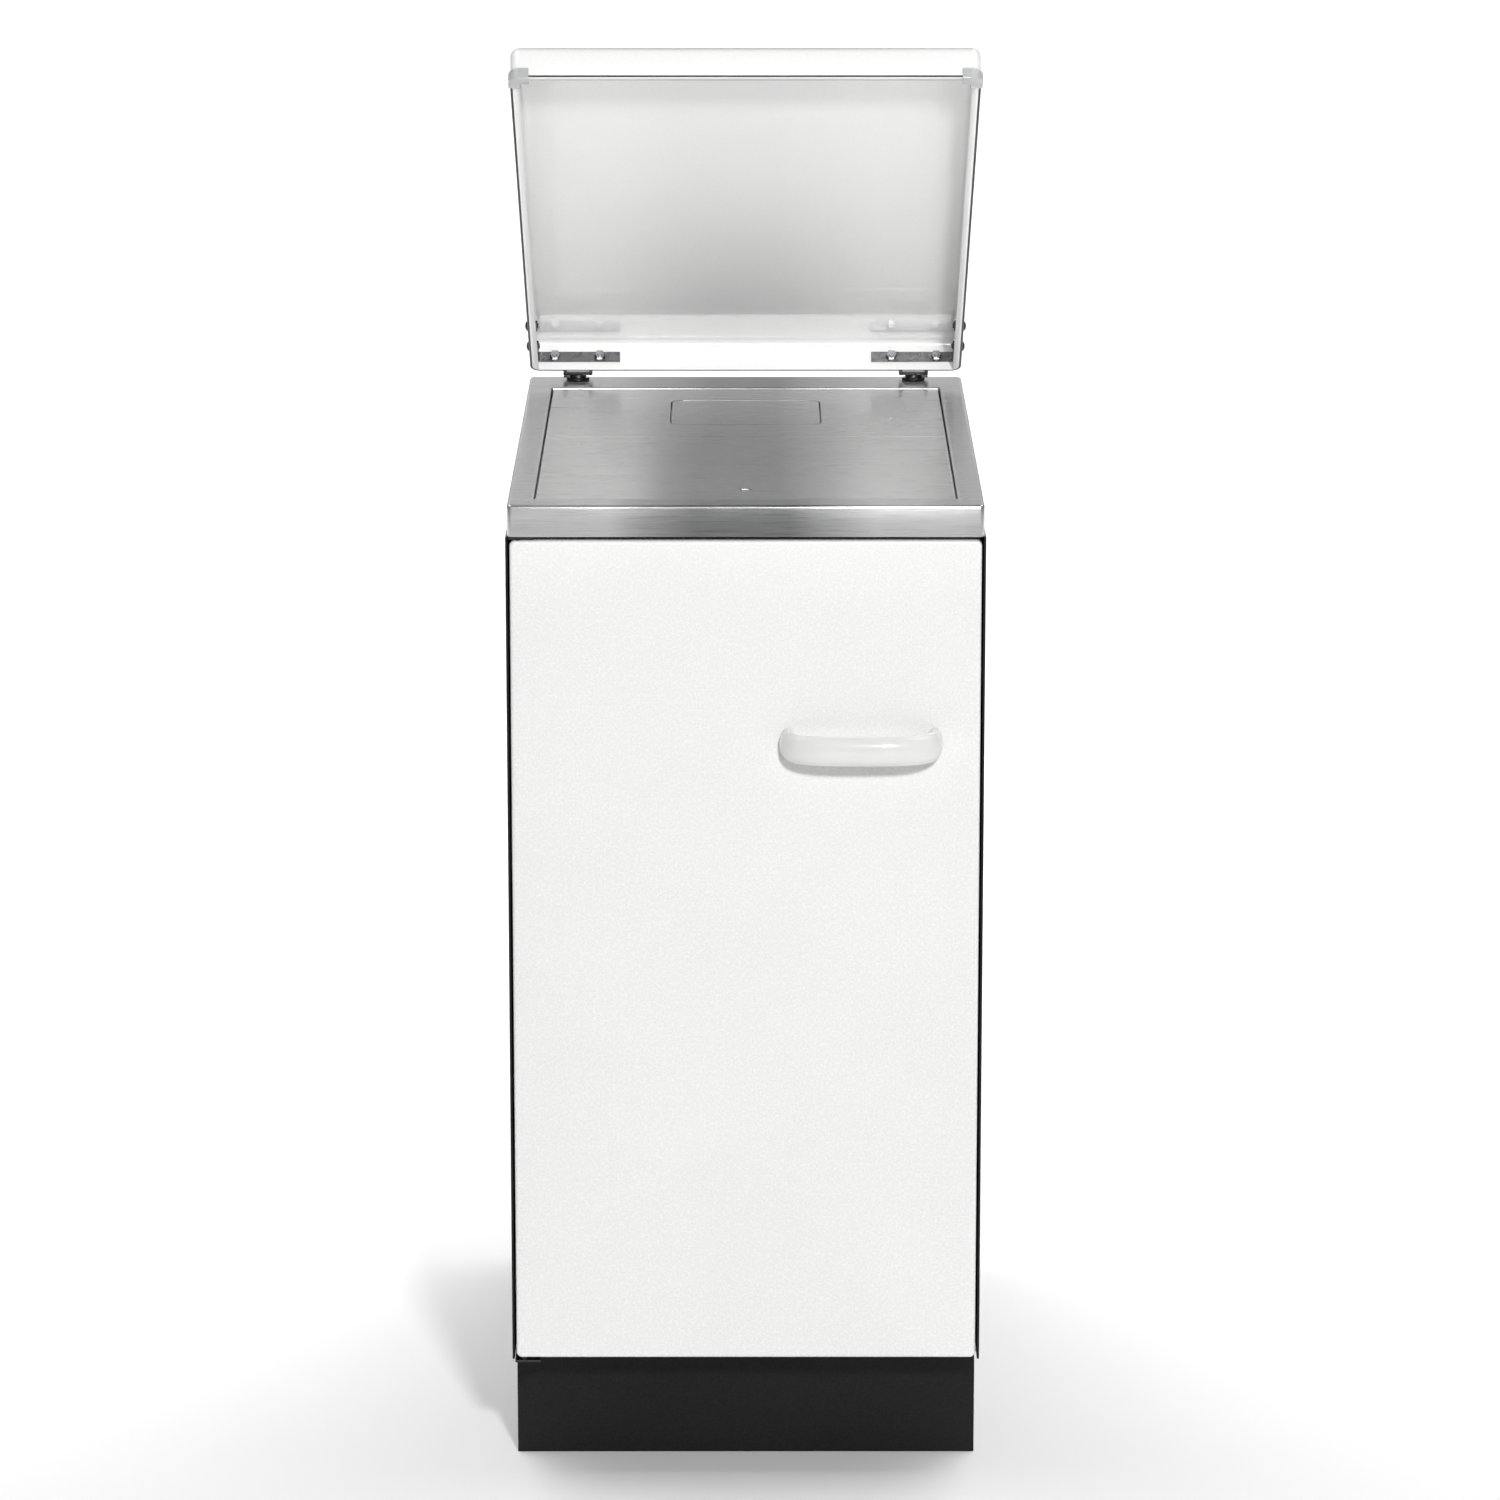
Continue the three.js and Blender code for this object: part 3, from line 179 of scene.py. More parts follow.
def enamel(name, color, shade, roughness, grain, coat=0.35, specular=0.5):
    """Baked enamel: a fine orange peel under a clear gloss, and a faint cloudiness."""
    m = Nodes(name, color, roughness, Coat_Weight=coat, Coat_Roughness=0.04, Coat_IOR=1.5)
    m.set("Specular IOR Level", specular)
    cloud = m.noise(7.0, 2.0)
    speckle = m.ramp(m.noise(620.0, 3.0), 0.4, 0.6)
    m.color(m.blend(0.6, m.tint(cloud, color, shade), m.tint(speckle, shade, color)))
    m.roughness(m.noise(300.0, 2.0), roughness * 0.9, roughness * 1.15)
    m.bump(m.noise(620.0, 2.0), grain, 0.0002)
    return m.material


# Metres from one bright painted reflection streak to the next, across the hob.
REFLECTION_WAVE = 0.33


def brushed(name, dark, light, roughness, across, reflection_bands):
    """Sheet steel brushed along X: fine lines under broad streaks of painted reflection that lighten and darken
    the colour across X.
    """
    m = Nodes(name, light, roughness, 1.0, Anisotropic=0.6, Anisotropic_Rotation=0.25)
    fine = m.noise(1.0, 4.0, (18, across, across), rough=0.7)
    split = m.node("SeparateXYZ")
    m.link(m.place(), split.inputs["Vector"])
    swing = m.node("Math", operation="COSINE")
    turn = m.node("Math", operation="MULTIPLY")
    turn.inputs[1].default_value = 2 * math.pi / REFLECTION_WAVE
    m.link(split.outputs["X"], turn.inputs[0])
    m.link(turn.outputs[0], swing.inputs[0])
    # Painted reflection: a wave across X that brightens and darkens the colour in place of the lights the steel
    # reflects.
    painted_reflection = m.ramp(swing.outputs[0], 1.0, -1.0)
    reflection_streaks = m.node("Math", operation="MULTIPLY_ADD")
    reflection_streaks.inputs[1].default_value = 0.55
    m.link(m.noise(1.0, 1.0, (reflection_bands, 0.5, 1.2)), reflection_streaks.inputs[0])
    m.link(m.ramp(painted_reflection, 0, 1, 0, 0.42), reflection_streaks.inputs[2])
    lines = m.tint(m.ramp(fine, 0.2, 0.8), dark, light)
    # Painted reflection: the broad streaks tint the colour between dark and light.
    reflection_patches = m.tint(m.ramp(reflection_streaks.outputs[0], 0.34, 0.64), dark, light)
    m.color(m.blend(0.72, lines, reflection_patches))
    m.roughness(fine, roughness * 0.75, roughness * 1.3)
    m.bump(fine, 0.12, 0.0002)
    m.bump(m.noise(1.0, 2.0, (6, across * 0.25, across * 0.25)), 0.05, 0.0004)
    along = m.node("CombineXYZ")
    along.inputs["X"].default_value = 1.0
    m.link(along.outputs["Vector"], m.shader.inputs["Tangent"])
    return m.material


def iron(name, dark, light, roughness, grain=0.5):
    """Sand-cast iron: pitted skin, dull patches."""
    m = Nodes(name, dark, roughness, 0.55)
    m.color(m.tint(m.ramp(m.noise(30.0, 5.0), 0.3, 0.7), dark, light))
    m.roughness(m.noise(80.0, 4.0), roughness * 0.8, min(1.0, roughness * 1.2))
    m.bump(m.noise(700.0, 4.0), grain, 0.0006)
    m.bump(m.noise(90.0, 3.0), grain * 0.5, 0.001)
    return m.material


def clay(name):
    """Pressed fireclay: a sandy skin with coarse grog."""
    m = Nodes(name, (0.5, 0.36, 0.22), 0.95)
    sand = m.tint(m.ramp(m.noise(260.0, 5.0), 0.3, 0.7), (0.42, 0.29, 0.17), (0.66, 0.52, 0.36))
    grog = m.ramp(m.cells(220.0), 0.05, 0.28)
    m.color(m.blend(0.6, sand, m.tint(grog, (0.3, 0.2, 0.12), (0.7, 0.56, 0.4))))
    m.bump(m.noise(420.0, 5.0), 0.7, 0.0008)
    m.bump(grog, 0.25, 0.0006)
    return m.material


def zinc(name, dark, light, roughness=0.32):
    """Zinc-plated steel: small cloudy spangles and fine drawing lines."""
    m = Nodes(name, light, roughness, 1.0)
    spangle = m.ramp(m.cells(160.0), 0.0, 0.6)
    m.color(m.blend(0.5, m.tint(spangle, dark, light), m.tint(m.noise(25.0, 3.0), dark, light)))
    m.roughness(m.noise(110.0, 3.0), roughness * 0.8, roughness * 1.3)
    m.bump(m.noise(900.0, 3.0), 0.12, 0.0002)
    return m.material


def plastic(name, color, shade, roughness, grain, **sockets):
    """Moulded plastic: even colour with a faint flow pattern and a fine skin."""
    m = Nodes(name, color, roughness, 0.0, **sockets)
    m.color(m.tint(m.ramp(m.noise(30.0, 3.0), 0.3, 0.7), color, shade))
    m.roughness(m.noise(180.0, 3.0), roughness * 0.85, roughness * 1.2)
    m.bump(m.noise(1500.0, 2.0), grain, 0.0001)
    return m.material


white_enamel = enamel("white_enamel", (0.9, 0.9, 0.895), (0.78, 0.78, 0.775), 0.26, 0.35)
lid_enamel = enamel("lid_enamel", (0.88, 0.88, 0.875), (0.84, 0.84, 0.835), 0.14, 0.02, 1.0)
black_enamel = enamel(
    "black_enamel", (0.005, 0.0053, 0.0057), (0.011, 0.0113, 0.0118), 0.4, 0.4,
    coat=0.0, specular=0.2,
)
# Black for the side panels, and painted shade for the band on the lid's rim.
side_black_and_rim_shade = enamel(
    "side_black_and_rim_shade", (0.006, 0.006, 0.0065), (0.009, 0.009, 0.0095), 0.35, 0.1,
    coat=0.0, specular=0.22,
)
# Both steels carry the painted reflection streaks from brushed().
stainless = brushed("stainless_brushed", (0.13, 0.132, 0.135), (0.64, 0.64, 0.64), 0.3, 900, 7)
ground_steel = brushed("ground_steel", (0.2, 0.2, 0.205), (0.72, 0.72, 0.72), 0.3, 620, 9)
cast_iron = iron("cast_iron", (0.018, 0.018, 0.019), (0.045, 0.044, 0.043), 0.6)
grate_iron = iron("grate_iron", (0.03, 0.028, 0.027), (0.075, 0.065, 0.058), 0.75, 0.8)
fireclay = clay("fireclay")
zinc_steel = zinc("zinc_steel", (0.38, 0.39, 0.4), (0.62, 0.63, 0.64))
dark_zinc = zinc("dark_zinc", (0.03, 0.03, 0.032), (0.06, 0.06, 0.062), 0.4)
bracket_zinc = zinc("bracket_zinc", (0.06, 0.06, 0.063), (0.17, 0.17, 0.175), 0.28)
chrome = zinc("bright_steel", (0.2, 0.2, 0.205), (0.42, 0.42, 0.43), 0.2)
white_plastic = plastic(
    "white_plastic", (0.78, 0.78, 0.775), (0.75, 0.75, 0.745), 0.12, 0.04, Coat_Weight=0.4
)
black_plastic = plastic("black_plastic", (0.018, 0.018, 0.019), (0.028, 0.028, 0.029), 0.34, 0.2)
clear_plastic = plastic(
    "clear_plastic", (0.84, 0.85, 0.85), (0.76, 0.77, 0.77), 0.12, 0.1,
    Transmission_Weight=0.55, IOR=1.45,
)

CAD_MATERIALS = {
    "black_enamel": black_enamel,
    "cast_iron": cast_iron,
    "fireclay": fireclay,
    "zinc_steel": zinc_steel,
    "black_plastic": black_plastic,
    "white_plastic": white_plastic,
    "ground_steel": ground_steel,
    "stainless_steel": stainless,
    "white_enamel": white_enamel,
    "grey_rubber": clear_plastic,
}
NODE_MATERIALS = {
    "lid_bracket_left": bracket_zinc,
    "lid_bracket_right": bracket_zinc,
    "door_hinge_lower": dark_zinc,
    "door_hinge_upper": dark_zinc,
    "fire_grate": grate_iron,
    "side_panel_left": side_black_and_rim_shade,
    "side_panel_right": side_black_and_rim_shade,
}
# How far the edges of the CAD nodes are broken, in millimetres.
EDGE_WIDTH = {"cast_iron": 1.0, "fireclay": 2.5, "black_enamel": 0.5, "black_plastic": 0.8}
PLAIN_EDGE = 0.4
for row in frame["record"]["subparts"]:
    node, slot_name = row["node"], row["material_slot"]
    thing = nodes[node]
    thing.data.materials.clear()
    thing.data.materials.append(NODE_MATERIALS.get(node, CAD_MATERIALS[slot_name]))
    weld = thing.modifiers.new("weld", "WELD")
    weld.merge_threshold = 1e-6
    bevel = thing.modifiers.new("edges", "BEVEL")
    bevel.width = EDGE_WIDTH.get(slot_name, PLAIN_EDGE) * MM
    bevel.segments = 2
    bevel.limit_method = "ANGLE"
    bevel.angle_limit = math.radians(40)
    bevel.harden_normals = False


# ---------- Making pieces ----------
def piece(name, bm, material, body, replaces=(), place=None, smooth=45):
    """Turns a bmesh in millimetres into a piece that rides on a body."""
    bmesh.ops.recalc_face_normals(bm, faces=bm.faces)
    mesh = bpy.data.meshes.new(name)
    bm.to_mesh(mesh)
    bm.free()
    mesh.transform(Matrix.Scale(MM, 4))
    if place is not None:
        mesh.transform(place)
    mesh.materials.append(material)
    made = bpy.data.objects.new(name, mesh)
    bpy.context.scene.collection.objects.link(made)
    mesh.shade_smooth()
    mesh.set_sharp_from_angle(angle=math.radians(smooth))
    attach(made, body)
    if replaces:
        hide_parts(*replaces)
    return made


def skin(bm, loops, ring=False):
    """Joins loops of one length with quads, and caps the ends unless the loops meet in a ring."""
    for first, second in zip(loops, loops[1:] + loops[:1] if ring else loops[1:]):
        for i in range(len(first)):
            j = (i + 1) % len(first)
            bm.faces.new((first[i], first[j], second[j], second[i]))
    if not ring:
        bm.faces.new(loops[0])
        bm.faces.new(loops[-1])


def rounded(half, low, high, radius, steps):
    """Outline of a rectangle with round corners, as (u, v) points."""
    radius = max(radius, 0.05)
    corners = ((half - radius, low + radius, -90), (half - radius, high - radius, 0),
               (radius - half, high - radius, 90), (radius - half, low + radius, 180))
    return [
        (u + radius * math.cos(math.radians(start + 90 * i / steps)),
         v + radius * math.sin(math.radians(start + 90 * i / steps)))
        for u, v, start in corners
        for i in range(steps + 1)
    ]


def loft(rings, closed, lay=lambda u, v, h: (u, v, h), steps=8, shift=0.0, bm=None):
    """Skins rounded rectangles (half, low, high, radius, height), one after another."""
    bm = bm or bmesh.new()
    loops = [
        [bm.verts.new(lay(u + shift, v, height)) for u, v in rounded(*outline, steps)]
        for *outline, height in rings
    ]
    skin(bm, loops, closed)
    return bm


def inset(half, low, high, radius, by, height):
    """One ring, moved in by a distance on every side."""
    return (half - by, low + by, high - by, max(radius - by, 0.1), height)


# Distance from an edge to the rings beside it, which keep long flat faces from shading round.
SUPPORT = 0.8


def fillet(base, radius, start, rise, out_first, steps):
    """Rings round an edge from the side wall to the top, or the other way."""
    made = [inset(*base, 0, start - rise * SUPPORT)]
    for i in range(steps + 1):
        a = math.pi / 2 * i / steps
        made.append(inset(*base, radius * (1 - math.cos(a)), start + rise * radius * math.sin(a)))
    made.append(inset(*base, radius + SUPPORT, start + rise * radius))
    return made if out_first else made[::-1]


def turned(profile, axis, centre, sides, bm=None, ring=False):
    """Spins (radius, height) points about an axis through centre; closed ends, or a tube."""
    bm = bm or bmesh.new()
    loops = []
    for radius, height in profile:
        loop = []
        for i in range(sides):
            a = 2 * math.pi * i / sides
            u, v = radius * math.cos(a), radius * math.sin(a)
            point = {"x": (height, u, v), "y": (u, height, v), "z": (u, v, height)}[axis]
            loop.append(bm.verts.new([p + c for p, c in zip(point, centre)]))
        loops.append(loop)
    skin(bm, loops, ring)
    return bm


def dome(radius, height, start, steps, flat):
    """Profile of a domed head that rises from start and ends in a small flat."""
    angles = [math.pi / 2 * i / steps for i in range(steps + 1)]
    return [(max(radius * math.cos(a), flat), start + height * math.sin(a)) for a in angles]


def brick(x0, x1, y0, y1, z0, z1, bm, edge):
    """A small box with broken edges."""
    low, high = (x0, y0, z0), (x1, y1, z1)
    fresh = bmesh.ops.create_cube(bm, size=1.0)["verts"]
    for v in fresh:
        v.co = [lo + (c + 0.5) * (hi - lo) for c, lo, hi in zip(v.co, low, high)]
    edges = list(dict.fromkeys(e for v in fresh for e in v.link_edges))
    bmesh.ops.bevel(bm, geom=edges, offset=edge, segments=2, affect="EDGES", profile=0.5)


def screw(bm, centre, axis, out, radius=3.4, height=1.5):
    """A pan-head screw with a fine cross on its head, standing out along an axis."""
    profile = [(radius, 0.0), (radius, 0.35 * height * out)]
    head = dome(radius, 0.65 * height, 0.35 * height, 4, radius * 0.12)
    profile += [(r, h * out) for r, h in head][1:]
    turned(profile, axis, centre, 20, bm)
    ends = {"x": (0, 1, 2), "y": (1, 0, 2), "z": (2, 0, 1)}[axis]
    for long_way in (1, 2):
        half = [0, 0, 0]
        half[ends[0]] = 0.12
        half[ends[long_way]] = radius * 0.55
        half[ends[3 - long_way]] = radius * 0.13
        c = list(centre)
        c[ends[0]] += out * height
        brick(*[v for p, h in zip(c, half) for v in (p - h, p + h)], bm, 0.04)


# ---------- Lid, in its own closed position about the hinge axis ----------
lid_local = LID_PLACE.inverted()
lid_points = [lid_local @ v.co for v in nodes["lid_shell"].data.vertices]
lid_low = [min(p[i] for p in lid_points) / MM for i in range(3)]
lid_high = [max(p[i] for p in lid_points) / MM for i in range(3)]
LID_HALF, LID_FRONT, LID_REAR = lid_high[0], lid_low[1], lid_high[1]
LID_RIM, LID_TOP = lid_low[2], lid_high[2]
LID_SHEET, LID_LIP, LID_ROUND, LID_FOLD = 1.5, 6.0, 9.0, 7.0
# How far in the first ring on the lid's flat lies, and the ring beside its folded edge.
LID_MIDDLE, LID_BESIDE_FOLD = 60, LID_FOLD + 3
lid_base = (LID_HALF, LID_FRONT, LID_REAR, LID_ROUND)


def lid_ring(by, rear, height):
    """A ring inside the lid's outline, with its own distance from the rear edge."""
    half, low, high, radius = lid_base
    return (half - by, low + by, high - rear, max(radius - by, 0.4), height)


lid_rings = [inset(*lid_base, LID_MIDDLE, LID_TOP), inset(*lid_base, LID_BESIDE_FOLD, LID_TOP)]
lid_rings += fillet(lid_base, LID_FOLD, LID_TOP - LID_FOLD, 1, False, 7)
lid_rings += [
    inset(*lid_base, 0, LID_RIM + 1.2),
    inset(*lid_base, 0.35, LID_RIM + 0.35),
    inset(*lid_base, 1.2, LID_RIM),
    lid_ring(LID_SHEET + LID_LIP - 0.6, 1.35, LID_RIM),
    lid_ring(LID_SHEET + LID_LIP, 1.4, LID_RIM + 0.7),
    lid_ring(LID_SHEET + LID_LIP - 0.6, 1.45, LID_RIM + LID_SHEET),
    lid_ring(LID_SHEET + 0.5, LID_SHEET, LID_RIM + LID_SHEET),
]
lid_inner = inset(*lid_base, LID_SHEET, 0)[:4]
lid_rings += fillet(lid_inner, LID_FOLD - LID_SHEET, LID_TOP - LID_FOLD, 1, True, 7)
lid_rings += [
    inset(*lid_base, LID_BESIDE_FOLD, LID_TOP - LID_SHEET),
    inset(*lid_base, LID_MIDDLE, LID_TOP - LID_SHEET),
]
# How far the dark band of painted shade stands proud of the rim.
SHADE_BAND = 0.12


def shade_band_ring(by, height):
    """A ring of the dark band of painted shade along the lid's folded edge, which is narrower along the front."""
    half, low, high, radius = lid_base
    return (half - by, low + min(by, 0.5), high - by, max(radius - by, 0.4), height)


shade_band_rings = [
    shade_band_ring(-SHADE_BAND, LID_RIM + 1.1),
    shade_band_ring(-SHADE_BAND, LID_RIM + 0.3),
    shade_band_ring(0.3, LID_RIM - SHADE_BAND),
    shade_band_ring(1.9, LID_RIM - SHADE_BAND),
    shade_band_ring(1.9, LID_RIM + 0.05),
    shade_band_ring(0.45, LID_RIM + 0.5),
    shade_band_ring(0.1, LID_RIM + 1.1),
]
# Painted shade: a dark band round the lid's folded rim, where the edge falls into shadow.
shade_band_bm = loft(shade_band_rings, True)
piece("lid_rim_painted_shade", shade_band_bm, side_black_and_rim_shade, "lid", (), LID_PLACE, 60)
lid_bm = loft(lid_rings, False)
piece("lid_panel", lid_bm, lid_enamel, "lid", ["lid_shell"], LID_PLACE, 60)


def in_lid(node):
    """A lid node's box about the hinge axis, lid closed, in millimetres."""
    points = [lid_local @ v.co for v in nodes[node].data.vertices]
    return [(min(p[i] for p in points) / MM, max(p[i] for p in points) / MM) for i in range(3)]


def lid_bolt(node):
    """A domed head outside, and a washer and a hexagon nut round the bolt's end inside."""
    (x0, x1), (y0, y1), (z0, z1) = in_lid(node)
    base = [(x0 + x1) / 2, (y0 + y1) / 2, (z0 + z1) / 2]
    if "_rear_" in node:
        axis, look, outer, inner, out = "y", chrome, y1, y0, 1
    elif base[0] > 0:
        axis, look, outer, inner, out = "x", dark_zinc, x1, x0, 1
    else:
        axis, look, outer, inner, out = "x", dark_zinc, x0, x1, -1
    base["xyz".index(axis)] = 0.0
    head_rise, collar = 2.3, 2.8
    bm = bmesh.new()
    head = [(4.6, outer - out * collar), (4.6, outer - out * head_rise)]
    head += [(r, outer - out * head_rise + out * h) for r, h in dome(4.5, head_rise, 0.0, 6, 0.2)]
    turned(head, axis, base, 28, bm)
    shank = [(1.9, inner), (2.5, inner + out * 0.6), (2.5, outer - out * collar)]
    turned(shank, axis, base, 16, bm)
    nut = inner + out * 1.0
    washer = [(4.5, nut + out * 4.0), (4.5, nut + out * 3.2), (0.1, nut + out * 3.2)]
    turned(washer, axis, base, 24, bm)
    hexagon = [(3.9, nut), (4.9, nut + out * 0.5), (4.9, nut + out * 2.7), (4.0, nut + out * 3.2)]
    turned(hexagon, axis, base, 6, bm)
    name = node.replace("lid_bolt", "bolt")
    piece(name, bm, look, "lid", [node], LID_PLACE, 25)


for lid_node in [n for n in nodes if n.startswith("lid_bolt_")]:
    lid_bolt(lid_node)


def corner_cap(side):
    """A clear moulded cap pushed over the lid's rim at a front corner."""
    sign = 1 if side == "right" else -1
    wall, reach = 1.6, 17.5
    low, high = LID_RIM - 2.6, LID_RIM + 7.5
    radius = LID_ROUND + wall
    edge_x, edge_y = LID_HALF + wall, LID_FRONT - wall
    centre = (edge_x - radius, edge_y + radius)
    outline = [(edge_x, edge_y + reach, Vector((1, 0)))]
    for i in range(9):
        a = math.radians(0 - 90 * i / 8)
        x, y = edge_x - radius + radius * math.cos(a), edge_y + radius + radius * math.sin(a)
        outline.append((x, y, Vector((x - centre[0], y - centre[1])).normalized()))
    outline.append((edge_x - reach, edge_y, Vector((0, -1))))
    # The cap's section as (distance in from its outer wall, height).
    section = [
        (0.0, low + 1.4), (0.0, high - 0.5), (0.4, high), (1.0, high), (1.4, high - 0.4),
        (1.4, LID_RIM - 0.2), (9.6, LID_RIM - 0.2), (9.6, LID_RIM + 2.1), (10.6, LID_RIM + 2.1),
        (11.0, LID_RIM + 1.6), (11.0, low + 1.0), (10.2, low), (1.2, low), (0.4, low + 0.5),
    ]
    # Columns in the bend stop short of its centre, so that they don't cross.
    closest = 0.6
    bm = bmesh.new()
    columns = []
    for i, (x, y, normal) in enumerate(outline):
        column = []
        for by, z in section:
            px, py = x - normal.x * by, y - normal.y * by
            if 0 < i < len(outline) - 1 and by > radius - closest:
                px, py = centre[0] + normal.x * closest, centre[1] + normal.y * closest
            column.append(bm.verts.new((sign * px, py, z)))
        columns.append(column)
    skin(bm, columns)
    replaced = [f"lid_buffer_{side}"]
    piece(f"corner_cap_{side}", bm, clear_plastic, "lid", replaced, LID_PLACE, 35)


for side in ("left", "right"):
    corner_cap(side)


# ---------- Hinge posts on the hob frame ----------
# The posts' foot, and how far above it the bright ring ends: the closed lid only just clears it.
POST_SEAT, POST_RING_TOP = 850.3, 2.4
FORK_CHEEK, FORK_ROUND = 3.0, 5.2


def fork_cheek(bm, middle, low, high):
    """One cheek of the fork: a plate from low to high along X, round above the hinge pin."""
    axis_y, axis_z = middle
    rings = []
    for x in (low, low + 0.3, high - 0.3, high):
        by = 0.3 if x in (low, high) else 0.0
        foot = POST_SEAT + 5.6
        points = [(axis_y - FORK_ROUND + by, foot), (axis_y + FORK_ROUND - by, foot)]
        for degrees in range(0, 181, 15):
            a = math.radians(degrees)
            reach = FORK_ROUND - by
            points.append((axis_y + reach * math.cos(a), axis_z + reach * math.sin(a)))
        rings.append([bm.verts.new((x, y, z)) for y, z in points])
    skin(bm, rings)


def hinge_post(side):
    """A disc and a flat bright ring on the hob frame, and a collar with a fork, a pin and a tab."""
    node = f"hinge_post_{side}"
    x0, x1, y0, y1, _, _ = span(node)
    cx, cy, half = (x0 + x1) / 2, (y0 + y1) / 2, (x1 - x0) / 2
    foot = (cx, cy, POST_SEAT)
    axis_y, axis_z = LID_AXIS.y / MM, LID_AXIS.z / MM
    disc = [(10.2, 0), (10.5, 0.3), (10.5, 1.5), (10.0, 2.1), (8.0, 2.2)]
    disc_bm = turned(disc, "z", foot, 40)
    piece(f"post_washer_{side}", disc_bm, black_enamel, "carcass", [node])
    bm = bmesh.new()
    collar = [(7.0, 2.25), (7.5, 2.6), (7.5, 4.6), (6.9, 5.6), (5.2, 6.0), (0.2, 6.0)]
    turned(collar, "z", foot, 36, bm)
    turned([(3.0, -11.0), (3.0, 3.0)], "z", foot, 16, bm)
    nut = [(4.9, -3.6), (5.4, -3.2), (5.4, -0.5), (4.9, -0.35)]
    turned(nut, "z", (cx, cy, POST_SEAT - 2), 6, bm)
    for end in (-1, 1):
        low, high = sorted((cx + end * (half - FORK_CHEEK), cx + end * half))
        fork_cheek(bm, (axis_y, axis_z), low, high)
    bridge = (cx - half, cx + half, axis_y - FORK_ROUND, axis_y + FORK_ROUND)
    brick(*bridge, POST_SEAT + 5.0, POST_SEAT + 7.0, bm, 0.3)
    pin = [(1.9, x0 - cx + 0.05), (2.5, x0 - cx + 0.5), (2.5, x1 - cx - 0.5), (1.9, x1 - cx - 0.05)]
    turned(pin, "x", (cx, axis_y, axis_z), 20, bm)
    away = 1 if side == "right" else -1
    tab = sorted((cx + away * 7.0, cx + away * 13.2))
    brick(*tab, cy - 2.6, cy + 2.6, POST_SEAT + 2.3, POST_SEAT + 3.7, bm, 0.4)
    ring = [(7.6, 2.0), (9.3, 2.0), (9.5, 2.2), (9.2, 2.38), (7.6, POST_RING_TOP)]
    ring_bm = turned(ring, "z", foot, 40, ring=True)
    piece(f"post_ring_{side}", ring_bm, chrome, "carcass", [node])
    piece(f"post_clevis_{side}", bm, dark_zinc, "carcass", [node], None, 35)


for side in ("left", "right"):
    hinge_post(side)

# ---------- Hob frame, plates and cleaning cover ----------
# Outlines are (half width, front, rear, corner radius).
_, x1, y0, y1, z0, z1 = span("top_frame")
frame_base = (x1, y0, y1, 4.0)
open_base = (177.0, -272.0, 241.0, 2.0)
ledge_base = (163.0, -199.0, 227.0, 2.0)
LEDGE_TOP, LEDGE_BOTTOM = 841.0, 838.0
FRAME_SHEET = 2.0
frame_rings = [
    inset(*frame_base, FRAME_SHEET, z0),
    inset(*frame_base, FRAME_SHEET - 0.4, z0),
    inset(*frame_base, 0.4, z0),
    inset(*frame_base, 0, z0 + 0.4),
]
frame_rings += fillet(frame_base, 2.6, z1 - 2.6, 1, True, 6)
frame_rings += [
    inset(*open_base, -4.0, z1),
    inset(*open_base, -0.9, z1),
    inset(*open_base, -0.25, z1 - 0.25),
    inset(*open_base, 0, z1 - 0.9),
    inset(*open_base, 0, LEDGE_TOP),
    inset(*ledge_base, 0.3, LEDGE_TOP),
    inset(*ledge_base, 0, LEDGE_TOP - 0.4),
    inset(*ledge_base, 0, LEDGE_BOTTOM),
    inset(*open_base, -FRAME_SHEET, LEDGE_BOTTOM),
    inset(*open_base, -FRAME_SHEET, z1 - FRAME_SHEET),
    inset(*frame_base, FRAME_SHEET, z1 - FRAME_SHEET),
]
frame_bm = loft(frame_rings, True)
piece("hob_frame", frame_bm, stainless, "carcass", ["top_frame"], None, 50)


def plate_base(box, radius):
    """A node's outline seen from above."""
    return ((box[1] - box[0]) / 2, box[2], box[3], radius)


PLATE_EDGE = 1.0


def slotted(outer, top, bottom, hole, lower_hole=None, shelf=None):
    """Rings of a plate with one hole, which may be a rebate with a narrower hole below."""
    rings = [inset(*outer, 0.5, bottom), inset(*outer, 0, bottom + 0.5)]
    rings += fillet(outer, PLATE_EDGE, top - PLATE_EDGE, 1, True, 4)
    rings += [
        inset(*hole, -1.8, top),
        inset(*hole, -0.9, top),
        inset(*hole, -0.3, top - 0.25),
        inset(*hole, 0, top - 0.9),
    ]
    if lower_hole:
        rings += [inset(*hole, 0, shelf), inset(*lower_hole, 0, shelf)]
        rings += [inset(*lower_hole, 0, bottom)]
    else:
        rings += [inset(*hole, 0, bottom)]
    return rings


def hob_part(name, bm, node):
    """A ground steel part of the hob, on the body of the same name as its node."""
    piece(name, bm, ground_steel, node, [node], None, 40)


plate_front, plate_rear = span("hob_plate_front"), span("hob_plate_rear")
cover = span("cleaning_cover")
PLATE_ROUND, COVER_ROUND = 2.0, 11.2
tool_slot = (5.0, -230.25, -225.75, 2.2)
rings = slotted(plate_base(plate_front, PLATE_ROUND), plate_front[5], plate_front[4], tool_slot)
hob_part("plate_front", loft(rings, True), "hob_plate_front")
window = (67.0, cover[2] - 0.8, cover[3] + 0.8, 12.0)
through = (59.0, cover[2] + 7.2, cover[3] - 7.2, 8.0)
shelf = cover[4] - 0.3
rings = slotted(
    plate_base(plate_rear, PLATE_ROUND), plate_rear[5], plate_rear[4], window, through, shelf
)
hob_part("plate_rear", loft(rings, True), "hob_plate_rear")
cover_base = plate_base(cover, COVER_ROUND)
